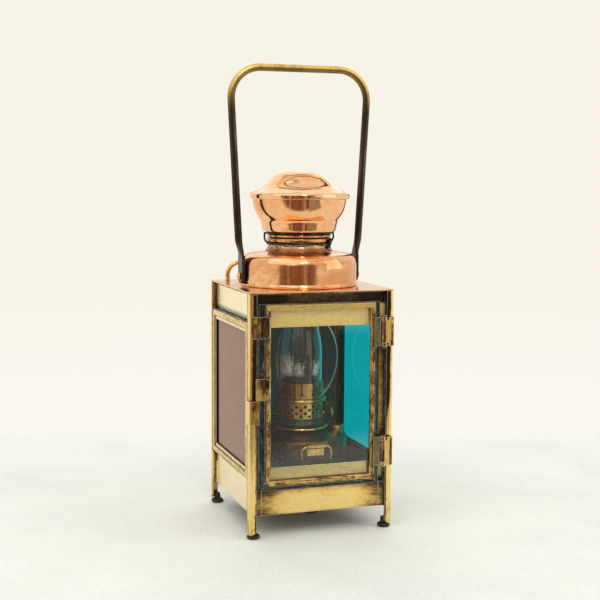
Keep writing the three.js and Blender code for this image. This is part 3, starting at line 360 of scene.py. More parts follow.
def flank_cover(net):
    """The side panels: pale, with brown along the posts."""
    return net.smooth(net.off(net.axes[1], HEAD[1]), 48, 58, -0.08, 0.14)


def flank_grime(net):
    """Grey-green grime over the window and along the posts."""
    _, y, z = net.axes
    ledge = net.times(net.smooth(z, 150, 170), net.smooth(z, 186.5, 182.5))
    return net.most(ledge, net.smooth(net.off(y, HEAD[1]), 52, 58, 0.0, 0.7))


def apron_blush(net):
    """The pinkish, paler metal of the aprons."""
    return net.times(net.smooth(net.axes[2], 60, 50), net.smooth(net.noise(40, 4), 0.36, 0.56, 0.35, 0.95))


def catch_cover(net):
    """The catch and the tongue are scuffed bright on the post and dark over the door, but for a bright patch.
    """
    x, _, z = net.axes
    return net.plus(net.smooth(x, -56, -53, 0.0, 0.08), net.smooth(z, 120, 130, -0.09, 0.0))


def sleeve_cover(net):
    """The sleeve is bright on its side and dark at its front."""
    return net.smooth(net.axes[0], -64.2, -61.5, -0.12, 0.05)


def bracket_cover(net):
    """Hinge straps: brown by the door, a painted dark edge short of the post's corner, and a painted
    highlight between them, as on a bowed strap.
    """
    x = net.axes[0]
    # The first band is brown mottling, the second a painted dark edge; the lighter rest is a painted
    # highlight.
    streaks_and_shading = [(net.within(x, 51.2, 53.6, 1.4), 0.14), (net.within(x, 59.4, 61.0, 1.2), 0.15)]
    return net.minus(net.blend(streaks_and_shading), 0.09)


def leaf_solder(net):
    """The leaf's plate is soldered grey to the door's stile; its barrel is bare."""
    return net.smooth(net.axes[0], 50.8, 50.4)


def lamp_axes(net):
    """Places seen from the lamp's axis, in mm: across the photograph's view, and towards it."""
    x, deep = net.axes[0], net.minus(net.axes[1], LAMP[1])
    aside = net.blend([(x, math.cos(YAW)), (deep, -math.sin(YAW))])
    return aside, net.blend([(x, -math.sin(YAW)), (deep, -math.cos(YAW))])


def burner_reflection_cover(net):
    """The burner is painted dark on its sides and lighter in its middle: a painted reflection of the dark
    coloured panes beside it and of the bright opening in front.
    """
    return net.smooth(net.off(lamp_axes(net)[0]), 7, 12, -0.04, 0.13)


def collar_highlight_cover(net):
    """The burner's collar is dull and dark, with a painted highlight on its bright rim."""
    return net.smooth(net.radius(*lamp_axes(net)), 23.0, 23.8, 0.26, -0.08)


def box_distance(net, left, right, low, high, across):
    """How far a point lies outside a rectangle, and along its sides; across is its horizontal axis."""
    side, z = net.axes[across], net.axes[2]
    beside = net.most(net.minus(left, side), net.minus(side, right))
    return net.most(beside, net.minus(low, z), net.minus(z, high)), net.plus(side, z)


def channel_material(name, opening, width, across, tones, levels, flange_tones, seed, crown=None, lip=None):
    """A glazed frame: a streaked bead round the opening, with a painted shadow line along the opening where
    one is given, bright edges that are partly wear and partly a painted highlight, and a soldered flange;
    crown is the height where an olive top rail begins."""
    net = Net(name)
    distance, along = box_distance(net, *opening, across)
    shift = (seed, seed * 1.3, seed * 2.1)
    blotch = net.noise(170, 6, 0.72, 1.2, None, shift)
    broad = net.noise(34, 4, 0.6, 0.3, None, shift)
    grain = net.out("CombineXYZ", {0: distance, 1: net.times(along, 0.09), 2: seed})
    streak = net.noise(1.0, 4, 0.68, 0.35, vector=grain)
    mottle = net.blend([(streak, 0.5), (blotch, 0.32), (broad, 0.18)])
    bead = net.ramp(mottle, levels, tones)
    if crown:
        olive = net.ramp(blotch, (0.35, 0.55, 0.75), shades(BRASS, "bright olive brown"))
        bead = net.mix(net.smooth(net.axes[2], crown - 0.3, crown), bead, olive)
    outside = net.smooth(distance, width - 0.3, width + 0.3)
    colour = net.mix(outside, bead, net.ramp(mottle, (0.34, 0.44, 0.56), flange_tones))
    crease = net.smooth(net.off(distance, width), 0.9, 0.2, 0.0, 0.85)
    colour = net.mix(crease, colour, BRASS["dark"])
    # Bright edges: partly wear, partly a painted highlight.
    rim = net.times(net.edges(0.0008), net.smooth(blotch, 0.34, 0.55), 0.75)
    colour = net.mix(rim, colour, net.mix(outside, BRASS["rubbed"], SOLDER["rubbed"]))
    # A painted shadow line along the opening.
    if lip:
        colour = net.mix(net.smooth(distance, 0.55, 0.3), colour, lip)
    height = net.blend([(blotch, 0.5), (streak, 0.35), (net.noise(600, 3), 0.15), (broad, 0.5)])
    return net.coat(colour, 0.96, net.smooth(mottle, 0.4, 0.62, 0.26, 0.5), height, 0.0007, 0.7)


def solder_material():
    """Grey solder with brown stain blotches, and a painted highlight on its edges."""
    net = Net("solder")
    blotch = net.noise(160, 5, 0.65, 0.8)
    grain = net.noise(1100, 3, 0.6)
    tone = net.blend([(blotch, 0.75), (grain, 0.25)])
    colour = net.ramp(tone, (0.38, 0.48, 0.60), shades(SOLDER, "light grey dark"))
    colour = net.mix(net.smooth(net.noise(60, 3), 0.56, 0.66), colour, BRASS["brown"])
    # Painted highlight on the edges.
    colour = net.mix(net.times(net.edges(0.0006), 0.6), colour, SOLDER["light"])
    height = net.blend([(blotch, 0.8), (grain, 0.2)])
    return net.coat(colour, 0.85, net.smooth(blotch, 0.3, 0.7, 0.3, 0.6), height, 0.0006, 0.8)


def copper_material(name, seed=0.0, lift=0.0, rough=(0.05, 0.19), stains_and_shade=None):
    """Polished copper: soft dents, orange and brown blotches, faint turning lines and dark specks."""
    net = Net(name)
    shift = (seed, seed * 1.9, seed * 0.7)
    broad = net.noise(22, 4, 0.55, 0.5, None, shift)
    blotch = net.noise(70, 6, 0.66, 1.1, None, shift)
    fine = net.noise(420, 4, 0.6, 0.3, None, shift)
    tone = net.plus(net.blend([(broad, 0.45), (blotch, 0.40), (fine, 0.15)]), lift)
    colour = net.ramp(tone, (0.44, 0.54, 0.66, 0.78), shades(COPPER, "bright warm tarnish brown"))
    lines = net.noise(420, 2, 0.5, 0.0, (0.03, 0.03, 1.0), shift)
    colour = net.mix(net.smooth(lines, 0.52, 0.62, 0.0, 0.16), colour, COPPER["tarnish"])
    pits = net.smooth(net.noise(330, 3, 0.7, 0.5, None, shift), 0.69, 0.76, 0.0, 0.5)
    colour = net.mix(pits, colour, COPPER["brown"])
    if stains_and_shade:
        colour = net.mix(stains_and_shade(net), colour, COPPER["tarnish"])
    height = net.blend([(broad, 1.0), (blotch, 0.05), (lines, 0.010)])
    return net.coat(colour, 1.0, net.smooth(tone, 0.42, 0.66, *rough), height, 0.0009, 0.35)


def drum_stains_and_shade(net):
    """The drum: brown stain speckles on its left, and broad painted shade on its right."""
    aside = lamp_axes(net)[0]
    speckle = net.smooth(net.noise(320, 5, 0.75, 0.6), 0.46, 0.60, 0.0, 0.40)
    cloud = net.smooth(net.noise(80, 4, 0.6, 0.5), 0.40, 0.58)
    left = net.times(net.smooth(aside, -6, -18), cloud, net.plus(speckle, 0.30))
    # Broad painted shade on the drum's right side.
    right = net.times(net.smooth(aside, 10, 24), net.smooth(cloud, 0.0, 1.0, 0.32, 0.68))
    return net.times(net.plus(left, right), net.smooth(net.axes[2], 231, 225))


def neck_copper_and_shade():
    """Dull copper of the neck, black in its grooves, with a painted brown reflection on its lower flare and
    black painted shade under the cup.
    """
    net = Net("copper_neck")
    z = net.axes[2]
    blotch = net.noise(120, 5, 0.65, 0.8)
    colour = net.ramp(blotch, (0.44, 0.60, 0.72), shades(COPPER, "warm tarnish brown"))
    grooves = [net.within(z, low, high, 0.5) for low, high in ((246.0, 246.8), (241.0, 242.6))]
    # Browner towards the bottom of the neck: a painted dark reflection on the flare.
    colour = net.mix(net.smooth(z, 240.6, 235.8, 0.2, 0.85), colour, COPPER["brown"])
    # Black grooves, and black painted shade above the upper bead, under the cup.
    colour = net.mix(net.most(*grooves, net.smooth(z, 248.8, 249.4)), colour, BRASS["dark"])
    height = net.blend([(blotch, 0.7), (net.noise(700, 3), 0.3)])
    return net.coat(colour, 1.0, net.smooth(blotch, 0.35, 0.65, 0.12, 0.28), height, 0.0005, 0.6)


def flux_material():
    """Old soldering flux: grey, green and chalky white."""
    net = Net("neck_flux")
    blotch = net.noise(230, 5, 0.7, 0.6)
    tones = ((0.42, 0.44, 0.38), (0.16, 0.20, 0.165), COPPER["green"], (0.02, 0.022, 0.018))
    height = net.blend([(blotch, 0.7), (net.noise(900, 3), 0.3)])
    return net.coat(net.ramp(blotch, (0.38, 0.47, 0.56, 0.64), tones), 0.4, 0.55, height, 0.0006, 0.9)


def wire_material():
    """Old iron wire, black and green."""
    net = Net("tie_wire")
    tones = ((0.055, 0.09, 0.055), (0.02, 0.03, 0.02), (0.012, 0.010, 0.008))
    colour = net.ramp(net.noise(260, 4), (0.4, 0.5, 0.62), tones)
    return net.coat(colour, 0.7, 0.45, net.noise(900, 2), 0.0002, 0.5)


def bail_material():
    """The bail: nearly black on its legs; olive brass round the outside of the grip, partly wear and partly a
    painted highlight, with painted shade on its underside.
    """
    net = Net("bail_brass")
    x, _, z = net.axes
    blotch = net.noise(50, 5, 0.62, 0.6, (1, 1, 0.3))
    fine = net.noise(500, 4, 0.65)
    tone = net.blend([(blotch, 0.75), (fine, 0.25)])
    tones = ((0.16, 0.11, 0.06), (0.075, 0.055, 0.038), (0.022, 0.018, 0.015))
    beside = net.most(net.minus(net.off(x), BAIL_REACH - BAIL_CORNER), 0.0)
    above = net.most(net.minus(z, BAIL_TOP - BAIL_CORNER), 0.0)
    outside = net.minus(net.radius(beside, above), BAIL_CORNER)
    # Olive on the top and outside of the grip, partly wear and partly a painted highlight; the underside
    # keeps a quarter of it.
    rubbed = net.times(net.smooth(outside, -0.9, 1.0, 0.25, 1.0), net.smooth(z, 352, 388))
    rubbed = net.times(rubbed, net.smooth(blotch, 0.64, 0.46, 0.55, 1.0))
    colour = net.mix(rubbed, net.ramp(tone, (0.34, 0.46, 0.62), tones), GRIP)
    height = net.blend([(blotch, 0.5), (fine, 0.2)])
    return net.coat(colour, 0.95, net.smooth(tone, 0.3, 0.7, 0.24, 0.44), height, 0.0006, 0.6)


def mirror_material():
    """The reflector's tin: smooth and dark, partly with age and partly painted shade, with a painted
    highlight on its rolled rim.
    """
    net = Net("reflector_tin")
    fine = net.noise(500, 4, 0.65)
    tone = net.blend([(net.noise(30, 4, 0.6, 0.6), 0.7), (fine, 0.3)])
    aged_and_shaded = net.ramp(tone, (0.42, 0.62), ((0.20, 0.20, 0.18), (0.10, 0.10, 0.085)))
    radius = net.radius(net.axes[0], net.minus(net.axes[2], MIRROR_RISE))
    # The rolled rim is painted near white: a painted highlight.
    colour = net.mix(net.smooth(radius, MIRROR_RADIUS - 0.4, MIRROR_RADIUS), aged_and_shaded, (0.92, 0.90, 0.86))
    return net.coat(colour, 1.0, net.smooth(tone, 0.4, 0.65, 0.08, 0.22), fine, 0.00004, 0.3)


def rubber_material():
    net = Net("old_rubber")
    blotch = net.noise(300, 5, 0.6)
    colour = net.ramp(blotch, (0.35, 0.65), ((0.024, 0.009, 0.006), (0.007, 0.004, 0.004)))
    dust = net.smooth(net.noise(140, 4), 0.5, 0.7, 0.0, 0.15)
    colour = net.mix(dust, colour, (0.07, 0.042, 0.03))
    return net.coat(colour, 0.0, net.smooth(blotch, 0.3, 0.7, 0.42, 0.7), net.noise(900, 3), 0.0002, 0.6)


def cotton_material():
    """The wick's weave, charred at its top."""
    net = Net("wick_cotton")
    inputs = {"Vector": net.place, "Scale": 900.0, "Distortion": 1.5, "Detail": 2.0}
    weave = net.out("TexWave", inputs, "Fac", bands_direction="Z")
    colour = net.ramp(weave, (0.0, 1.0), ((0.42, 0.36, 0.25), (0.72, 0.66, 0.52)))
    colour = net.mix(net.smooth(net.axes[2], 132, 133.6), colour, (0.02, 0.017, 0.015))
    return net.coat(colour, 0.0, 0.9, weave, 0.0003, 0.8)


def glass_material(name, colour, tint=None, dust_and_painted_light=None):
    """Flat old glass, which lets light through to what is behind it; the last argument lays dust, painted
    reflections and painted shadow lines on it.
    """
    net = Net(name)
    smear = net.smooth(net.noise(60, 5, 0.6, 1.5), 0.55, 0.8, 0.0, 0.03)
    inputs = {"Base Color": colour, "Roughness": smear, "Transmission Weight": 1.0, "IOR": 1.5}
    shown = net.out("BsdfPrincipled", inputs)
    if dust_and_painted_light:
        share, veil_colour = dust_and_painted_light(net)
        veil = net.out("BsdfPrincipled", {"Base Color": veil_colour, "Roughness": 0.8})
        shown = net.out("MixShader", {0: share, 1: shown, 2: veil})
    clear = net.out("BsdfTransparent", {"Color": tint or colour})
    shadow = net.out("LightPath", output="Is Shadow Ray")
    net.finish(net.out("MixShader", {0: shadow, 1: shown, 2: clear}))
    return net.material


def chimney_painted_glare(net):
    """Painted reflections: ragged pale patches on the front of the chimney's lower half, in three patches."""
    z = net.axes[2]
    aside, front = lamp_axes(net)
    ragged = net.noise(130, 6, 0.78, 0.9, (1.0, 1.0, 0.6))
    torn = net.noise(170, 6, 0.78, 0.9, (1.0, 1.0, 0.25), (0.3, 0.1, 0.2))
    aside = net.plus(aside, net.smooth(torn, 0.3, 0.7, -3.0, 3.0))
    top = net.plus(z, net.times(ragged, 26.0))
    cloud = net.smooth(net.noise(240, 5, 0.75, 0.8, (1.0, 1.0, 0.5)), 0.38, 0.60, 0.25, 1.0)
    left = net.times(net.within(aside, -15.5, -9.0, 1.6), net.smooth(top, 160, 156))
    middle = net.times(net.within(aside, -5.5, 1.0, 2.0), net.smooth(top, 153, 148, 0.0, 0.45))
    right = net.times(net.within(aside, 11.5, 14.5, 1.2), net.smooth(top, 155, 151, 0.0, 0.8))
    low = net.times(net.smooth(z, 126, 131), net.smooth(front, 0, 3))
    return net.times(net.most(left, middle, right), low, cloud, 0.92), GLARE_WHITE


def pane_dust(net):
    """A thin warm film of dust on the pane's outer face, and a painted dark shadow line along its rear edge.
    """
    film = net.smooth(net.noise(20, 4, 0.6, 0.3), 0.3, 0.7, 0.22, 0.30)
    outward = net.out("SeparateXYZ", {0: net.out("TexCoord", output="Normal")})
    dust = net.times(film, net.smooth(outward, -0.4, -0.8))
    # Painted shadow line along the pane's rear edge.
    edge_shadow = net.smooth(net.axes[1], 44.6, 45.4)
    return net.most(dust, edge_shadow), net.mix(edge_shadow, (0.80, 0.35, 0.17), SHADOW_MAROON)


# Mesh tools

def turns(count):
    return [2 * math.pi * k / count for k in range(count)]


def spoke(angle, radius, height=0.0):
    return Vector((radius * math.cos(angle), radius * math.sin(angle), height))


def stored(made, mesh=None):
    mesh = mesh or bpy.data.meshes.new("mesh")
    made.to_mesh(mesh)
    made.free()
    return mesh


def mesh_of(points, faces, weld=False):
    """A mesh from points in millimetres; weld joins those that meet."""
    mesh = bpy.data.meshes.new("mesh")
    mesh.from_pydata([Vector(p) * MM for p in points], [], faces)
    made = bmesh.new()
    made.from_mesh(mesh)
    if weld:
        bmesh.ops.remove_doubles(made, verts=made.verts, dist=1e-6)
        bmesh.ops.dissolve_degenerate(made, edges=made.edges, dist=1e-7)
    bmesh.ops.recalc_face_normals(made, faces=made.faces)
    return stored(made, mesh)


def merged(meshes):
    made = bmesh.new()
    for mesh in meshes:
        made.from_mesh(mesh)
        bpy.data.meshes.remove(mesh)
    return stored(made)


def rounded(outline, steps=5):
    """Points of an outline given as (radius, height, fillet), with its corners rounded."""
    points = []
    for i, (r, z, fillet) in enumerate(outline):
        if not fillet or i in (0, len(outline) - 1):
            points.append((r, z))
            continue
        here = Vector((r, z))
        back = Vector(outline[i - 1][:2]) - here
        on = Vector(outline[i + 1][:2]) - here
        reach = min(fillet, back.length / 2, on.length / 2)
        first, last = here + back.normalized() * reach, here + on.normalized() * reach
        for k in range(steps + 1):
            t = k / steps
            points.append(tuple(first * (1 - t) ** 2 + here * 2 * t * (1 - t) + last * t * t))
    return points


def curved(points, steps=4):
    """A smooth curve through points."""
    ends = [points[0], *points, points[-1]]
    result = []
    for i in range(1, len(ends) - 2):
        a, b, c, d = (Vector(p) for p in ends[i - 1:i + 3])
        for k in range(steps):
            t = k / steps
            bend = a * 2 - b * 5 + c * 4 - d
            point = b * 2 + (c - a) * t + bend * t * t + (b * 3 - a - c * 3 + d) * t ** 3
            result.append(tuple(point / 2))
    return [*result, tuple(points[-1])]


def walled(outline, wall=SHEET):
    """Closes an open outline with a second one inside it."""
    inner = []
    for i, point in enumerate(outline):
        before = Vector(outline[max(i - 1, 0)])
        after = Vector(outline[min(i + 1, len(outline) - 1)])
        along = (after - before).normalized()
        inner.append((max(point[0] - along.y * wall, 0.0), point[1] + along.x * wall))
    return [*outline, *reversed(inner)]


def lathe(outline, centre=HEAD, sides=FINE, wobble=0.0, seed=0.0):
    """A closed outline of (radius, height) turned about an upright axis; wobble bends it by that many mm."""
    points, faces = [], []
    count = len(outline)
    for angle in turns(sides):
        for r, z in outline:
            x, y = r * math.cos(angle), r * math.sin(angle)
            if wobble and r > 1:
                field = noise.noise(Vector((x, y, z)) * 0.045 + Vector((seed, seed, seed)))
                ripple = noise.noise(Vector((x, y, z)) * 0.12 + Vector((seed, 9, seed)))
                push = 1 + wobble * (field + 0.35 * ripple) / r
                x, y = x * push, y * push
                z += wobble * 0.5 * ripple
            points.append((x + centre[0], y + centre[1], z))
    for i in range(sides):
        after = (i + 1) % sides
        for k in range(count):
            on = (k + 1) % count
            faces.append((i * count + k, after * count + k, after * count + on, i * count + on))
    return mesh_of(points, faces, weld=True)


def tube_faces(rings, sides, closed=False):
    """Faces of a tube of rings of points, capped unless it is closed on itself."""
    faces = []
    for i in range(rings if closed else rings - 1):
        after = (i + 1) % rings
        for k in range(sides):
            on = (k + 1) % sides
            faces.append((i * sides + k, i * sides + on, after * sides + on, after * sides + k))
    if not closed:
        faces.append(tuple(range(sides)))
        faces.append(tuple((rings - 1) * sides + k for k in reversed(range(sides))))
    return faces


def sweep(path, radius, sides=16, closed=False, flat=1.0, rough=0.0, seed=0.0, taper=False):
    """A round bar along a path. flat squeezes it, rough swells it at random and taper closes its ends."""
    line = [Vector(p) for p in path]
    count = len(line)
    tangents = []
    for i in range(count):
        before = line[(i - 1) % count] if closed else line[max(i - 1, 0)]
        after = line[(i + 1) % count] if closed else line[min(i + 1, count - 1)]
        tangents.append((after - before).normalized())
    side = tangents[0].orthogonal().normalized()
    points = []
    for i, (place, tangent) in enumerate(zip(line, tangents)):
        side = (side - tangent * side.dot(tangent)).normalized()
        up = tangent.cross(side)
        swell = 1 + rough * noise.noise(place * 0.35 + Vector((seed, seed, 0)))
        if taper:
            swell *= max(math.sin(math.pi * (i + 0.35) / (count - 0.3)), 0.05) ** 0.35
        for angle in turns(sides):
            spoke = side * math.cos(angle) + up * math.sin(angle) * flat
            points.append(place + spoke * radius * swell)
    return mesh_of(points, tube_faces(count, sides, closed))


def filleted(corners, radii, steps=10):
    """Points of a path with each inner corner replaced by an arc."""
    line = [Vector(c) for c in corners]
    path = [line[0]]
    for i, radius in enumerate(radii, start=1):
        back = (line[i - 1] - line[i]).normalized()
        on = (line[i + 1] - line[i]).normalized()
        opening = back.angle(on)
        centre = line[i] + (back + on).normalized() * (radius / math.sin(opening / 2))
        first = line[i] + back * (radius / math.tan(opening / 2)) - centre
        last = line[i] + on * (radius / math.tan(opening / 2)) - centre
        arc = math.pi - opening
        side = (last - first * math.cos(arc)).normalized() * radius
        for k in range(steps + 1):
            path.append(centre + first * math.cos(arc * k / steps) + side * math.sin(arc * k / steps))
    return [*path, line[-1]]


def spaced(path, step):
    """The same path with points at most a step apart."""
    result = []
    for a, b in zip(path, path[1:]):
        parts = max(1, math.ceil((Vector(b) - Vector(a)).length / step))
        result += [Vector(a).lerp(Vector(b), k / parts) for k in range(parts)]
    return [*result, Vector(path[-1])]


def solder_run(start, end, radius, seed):
    """A low, uneven bead of solder between two points."""
    rng = random.Random(int(seed * 100) + 7)
    path = [p + Vector([rng.uniform(-0.12, 0.12) for _ in range(3)]) for p in spaced([start, end], 1.6)]
    return sweep(path, radius, 8, flat=0.8, rough=0.55, seed=seed, taper=True)


def solder_lump(centre, size, seed):
    """A rounded lump of solder with an uneven skin."""
    made = bmesh.new()
    bmesh.ops.create_icosphere(made, subdivisions=3, radius=1.0)
    for vert in made.verts:
        bulge = 1 + 0.35 * noise.noise(vert.co * 1.6 + Vector((seed, 2 * seed, 0)))
        vert.co = (vert.co * Vector(size) * bulge + Vector(centre)) * MM
    return stored(made)


def knurled(mesh, centre, from_radius, count, depth):
    """Presses flutes into the outside of a turned mesh."""
    for vert in mesh.vertices:
        x, y = vert.co.x / MM - centre[0], vert.co.y / MM - centre[1]
        radius = math.hypot(x, y)
        if radius > from_radius:
            push = 1 - depth * (0.5 + 0.5 * math.cos(count * math.atan2(y, x))) / radius
            vert.co.x, vert.co.y = (x * push + centre[0]) * MM, (y * push + centre[1]) * MM
    return mesh


def finish_piece(name, mesh, material, node=None, body="housing"):
    """Links a mesh as a piece of the lantern, smooth but for its sharp edges, in place of a CAD node."""
    mesh.name = name
    piece = bpy.data.objects.new(name, mesh)
    bpy.context.scene.collection.objects.link(piece)
    for face in mesh.polygons:
        face.use_smooth = True
    mesh.set_sharp_from_angle(angle=math.radians(SHARP))
    mesh.materials.append(material)
    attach(piece, body)
    if node:
        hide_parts(node)


def dress(patterns, material, bevel):
    """Gives the CAD nodes with names like the patterns a material, and softens their edges by some mm."""
    for name in [name for pattern in patterns.split() for name in fnmatch.filter(NODES, pattern)]:
        node = NODES[name]
        node.data.materials.clear()
        node.data.materials.append(material)
        if bevel:
            weld = node.modifiers.new("weld", "WELD")
            weld.merge_threshold = 0.02 * MM
            soften = node.modifiers.new("soften", "BEVEL")
            soften.width = bevel * MM
            soften.segments = 2
            soften.limit_method = "ANGLE"
            soften.angle_limit = math.radians(30)
            soften.harden_normals = True


# Finishes shared by several pieces
FOUR_TONES = shades(BRASS, "pale bright brown dark")
STRAP_TONES = shades(BRASS, "bright gold brown dark")
DARK_TONES = shades(BRASS, "gold brown dark")
SOOTY_TONES = shades(BRASS, "brown dark soot")
dark_brass = patina_brass("dark_brass", DARK_TONES, (0.36, 0.46, 0.55), (0.3, 0.55), seed=7.7)
lamp_brass = patina_brass("lamp_brass", STRAP_TONES, (0.44, 0.54, 0.64, 0.74), (0.22, 0.4), seed=13.3)
burner_brass = patina_brass(
    "burner_brass", STRAP_TONES, (0.46, 0.58, 0.68, 0.78), (0.2, 0.36), burner_reflection_cover, seed=21.7
)
soot = patina_brass("sooty_brass", SOOTY_TONES, (0.30, 0.44, 0.58), (0.4, 0.6), seed=19.0)
plain_copper = copper_material("copper_head", seed=1.3)
solder = solder_material()
old_rubber = rubber_material()


def strap_material(name, cover, seed, washes=()):
    """Dark mottled straps with bright rims, partly wear and partly a painted highlight."""
    levels = (0.42, 0.475, 0.53, 0.60)
    return patina_brass(name, STRAP_TONES, levels, (0.22, 0.42), cover, (1, 1, 0.3), 1.0, seed, washes)


def dress_box():
    """Materials for the CAD pieces, whose shapes stay."""
    levels = (0.42, 0.49, 0.56, 0.63)
    posts = patina_brass("post_brass", FOUR_TONES, levels, (0.2, 0.46), post_cover, (1, 1, 0.3))
    sill = patina_brass(
        "sill_brass", FOUR_TONES, (0.46, 0.60, 0.80, 0.94), (0.26, 0.46), sill_cover, (0.4, 1, 1), seed=3.1,
        washes=[(header_wash, OLIVE), (sill_shade, DULL_OLIVE)], dull=header_dull,
    )
    flanks = patina_brass(
        "flank_brass", shades(BRASS, "cream bright brown dark"), (0.54, 0.72, 0.84, 0.96), (0.26, 0.44),
        flank_cover, (1, 0.4, 1), seed=5.3, washes=[(flank_grime, GRIME), (apron_blush, BLUSH)],
    )
    door = channel_material(
        "door_brass", DOOR, 4.6, 0, shades(BRASS, "pale gold brown dark"), (0.40, 0.465, 0.53, 0.58),
        shades(SOLDER, "light grey dark"), 2.2, crown=DOOR[3],
    )
    window = channel_material(
        "window_brass", WINDOW, 3.3, 1, shades(BRASS, "rubbed pale gold brown"), (0.48, 0.56, 0.62, 0.68),
        shades(BRASS, "rubbed straw gold"), 4.4, lip=SHADOW_MAROON,
    )
    leaves = strap_material("leaf_brass", bracket_cover, 15.2, [(leaf_solder, LEAF_GREY)])
    catch = strap_material("catch_brass", catch_cover, 11.9)
    dress("post_*", posts, 0.3)
    dress("front_surround", sill, 0.12)
    dress("left_*_panel right_*_panel", flanks, 0.12)
    dress("back_panel floor_panel lamp_tray", dark_brass, 0.12)
    dress("top_plate", copper_material("copper_plate", 9.1, -0.03, (0.14, 0.28)), 0.35)
    dress("door_frame", door, 0.25)
    dress("*_window_frame", window, 0.2)
    dress("door_catch latch_tongue", catch, 0.3)
    dress("latch_sleeve", strap_material("sleeve_brass", sleeve_cover, 12.7), 0.3)
    dress("hinge_bracket_*", strap_material("bracket_brass", bracket_cover, 14.1), 0.25)
    dress("hinge_leaf_*", leaves, 0.2)
    dress("hinge_pin_*", dark_brass, 0.2)
    dress("door_glass", glass_material("clear_glass", (0.97, 0.985, 0.975)), 0)
    ruby = glass_material("ruby_glass", (0.10, 0.004, 0.007), (0.085, 0.004, 0.006), pane_dust)
    dress("left_window_glass", ruby, 0)
    dress("right_window_glass", glass_material("teal_glass", (0.0, 0.52, 0.62), (0.0, 0.17, 0.19)), 0)
    dress("draught_tube", plain_copper, 0)
    dress("pull_clip", lamp_brass, 0.1)
    dress("wick_tube wick_shaft", soot, 0.1)
    dress("flame_spreader", soot, 0)
    dress("wick", cotton_material(), 0.15)
    dress("burner_shell chimney_gallery", burner_brass, 0)


# Pieces

def add_feet():
    outline = rounded([
        (0, 0, 0), (4.3, 0, 0.5), (5.5, 0.9, 0.9), (5.4, 2.8, 0.7), (4.3, 3.6, 0.5), (2.9, 4.1, 0.5),
        (2.7, 7.6, 0.9), (2.2, 9.0, 0.6), (0, 9.0, 0),
    ])
    for side, x in (("left", -FOOT_OUT), ("right", FOOT_OUT)):
        for end, y in (("front", -FOOT_OUT), ("rear", FOOT_OUT)):
            mesh = lathe(outline, (x, y + HEAD[1]), SMALL, wobble=0.12, seed=x + y)
            finish_piece(f"rubber_{end}_{side}", mesh, old_rubber, f"foot_{end}_{side}")


def add_stud():
    """The stud under the floor: its neck, and a black thumb bar across its foot."""
    low, high = (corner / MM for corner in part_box("floor_stud"))
    x, y = (low.x + high.x) / 2, (low.y + high.y) / 2
    shoulder = high.z - 1.2
    outline = rounded([
        (0, low.z + 1, 0), (2.4, low.z + 1, 0.4), (3.0, low.z + 3, 0.4), (3.0, shoulder, 0.3),
        (1.6, shoulder, 0), (1.6, high.z, 0), (0, high.z, 0),
    ])
    thumb = spaced([(x - 2.4, y, low.z + 1.4), (x + 8.8, y, low.z + 1.4)], 0.8)
    mesh = merged([lathe(outline, (x, y), SMALL), sweep(thumb, 1.7, 12, taper=True)])
    finish_piece("thumb_stud", mesh, old_rubber, "floor_stud")


def add_head():
    """The copper vent head: drum, neck, cup and rain cap."""
    foot = rounded([
        (50.5, 205.5, 0), (50.8, 206.4, 0.5), (50.5, 207.6, 0.5), (50.0, 208.5, 0.6), (50.0, 212.0, 0),
    ])
    shoulder = curved([
        (50.0, 212.0), (50.0, 217.0), (49.95, 221.5), (49.6, 225.0), (48.9, 227.7), (47.6, 229.9),
        (45.8, 231.5), (44.0, 232.5), (43.0, 232.8), (42.3, 232.75), (41.6, 232.6), (41.0, 232.8),
        (38.0, 233.6), (34.0, 234.3), (31.0, 234.7), (29.2, 234.8),
    ])
    drum_copper = copper_material("copper_drum", 4.7, 0.02, (0.09, 0.22), drum_stains_and_shade)
    drum = lathe(walled(foot + shoulder[1:]), wobble=0.22, seed=2.5)
    finish_piece("copper_drum", drum, drum_copper, "vent_drum")
    neck = rounded([
        (29.4, 234.9, 0), (28.9, 236.0, 0.5), (27.6, 238.0, 1.0), (27.0, 240.2, 1.0), (26.8, 242.4, 0.3),
        (27.8, 243.0, 0.3), (28.1, 244.4, 0.6), (27.8, 245.7, 0.3), (26.7, 246.1, 0.3), (26.7, 246.7, 0.3),
        (27.8, 247.1, 0.3), (28.1, 248.0, 0.5), (27.8, 248.9, 0.3), (26.7, 249.3, 0.2), (26.7, 249.6, 0),
        (26.1, 249.6, 0), (26.1, 234.9, 0),
    ], 3)
    finish_piece("copper_neck", lathe(neck, wobble=0.15, seed=6.0), neck_copper_and_shade(), "vent_neck")
    cup = curved([
        (26.1, 251.8), (31.0, 251.8), (32.1, 252.5), (33.1, 256.8), (34.0, 260.6), (35.4, 262.9),
        (37.3, 265.9), (39.0, 269.6), (40.2, 273.6), (40.8, 277.4), (41.0, 280.0),
    ])
    tabs = [tab_mesh(45 + 90 * i) for i in range(4)]
    body = merged([lathe(walled(cup, 0.85), wobble=0.2, seed=8.4), *tabs])
    finish_piece("copper_cup", body, plain_copper, "vent_cup")
    brim = rounded([
        (42.6, 279.6, 0), (43.3, 280.1, 0.4), (43.5, 281.9, 0.5), (43.3, 283.7, 0.6), (42.2, 284.8, 0.7),
        (40.6, 285.35, 0),
    ])
    dome = curved([
        (40.6, 285.35), (37.4, 286.4), (34.0, 288.0), (30.8, 290.2), (28.2, 292.8), (26.0, 295.2),
        (23.2, 298.0), (19.6, 300.6), (15.0, 302.4), (9.0, 303.3), (4.0, 303.5), (0, 303.5),
    ])
    cap = lathe(walled(brim + dome[1:], 0.85), wobble=0.3, seed=3.3)
    finish_piece("copper_cap", cap, copper_material("copper_cap", 1.3, -0.06), "rain_cap")


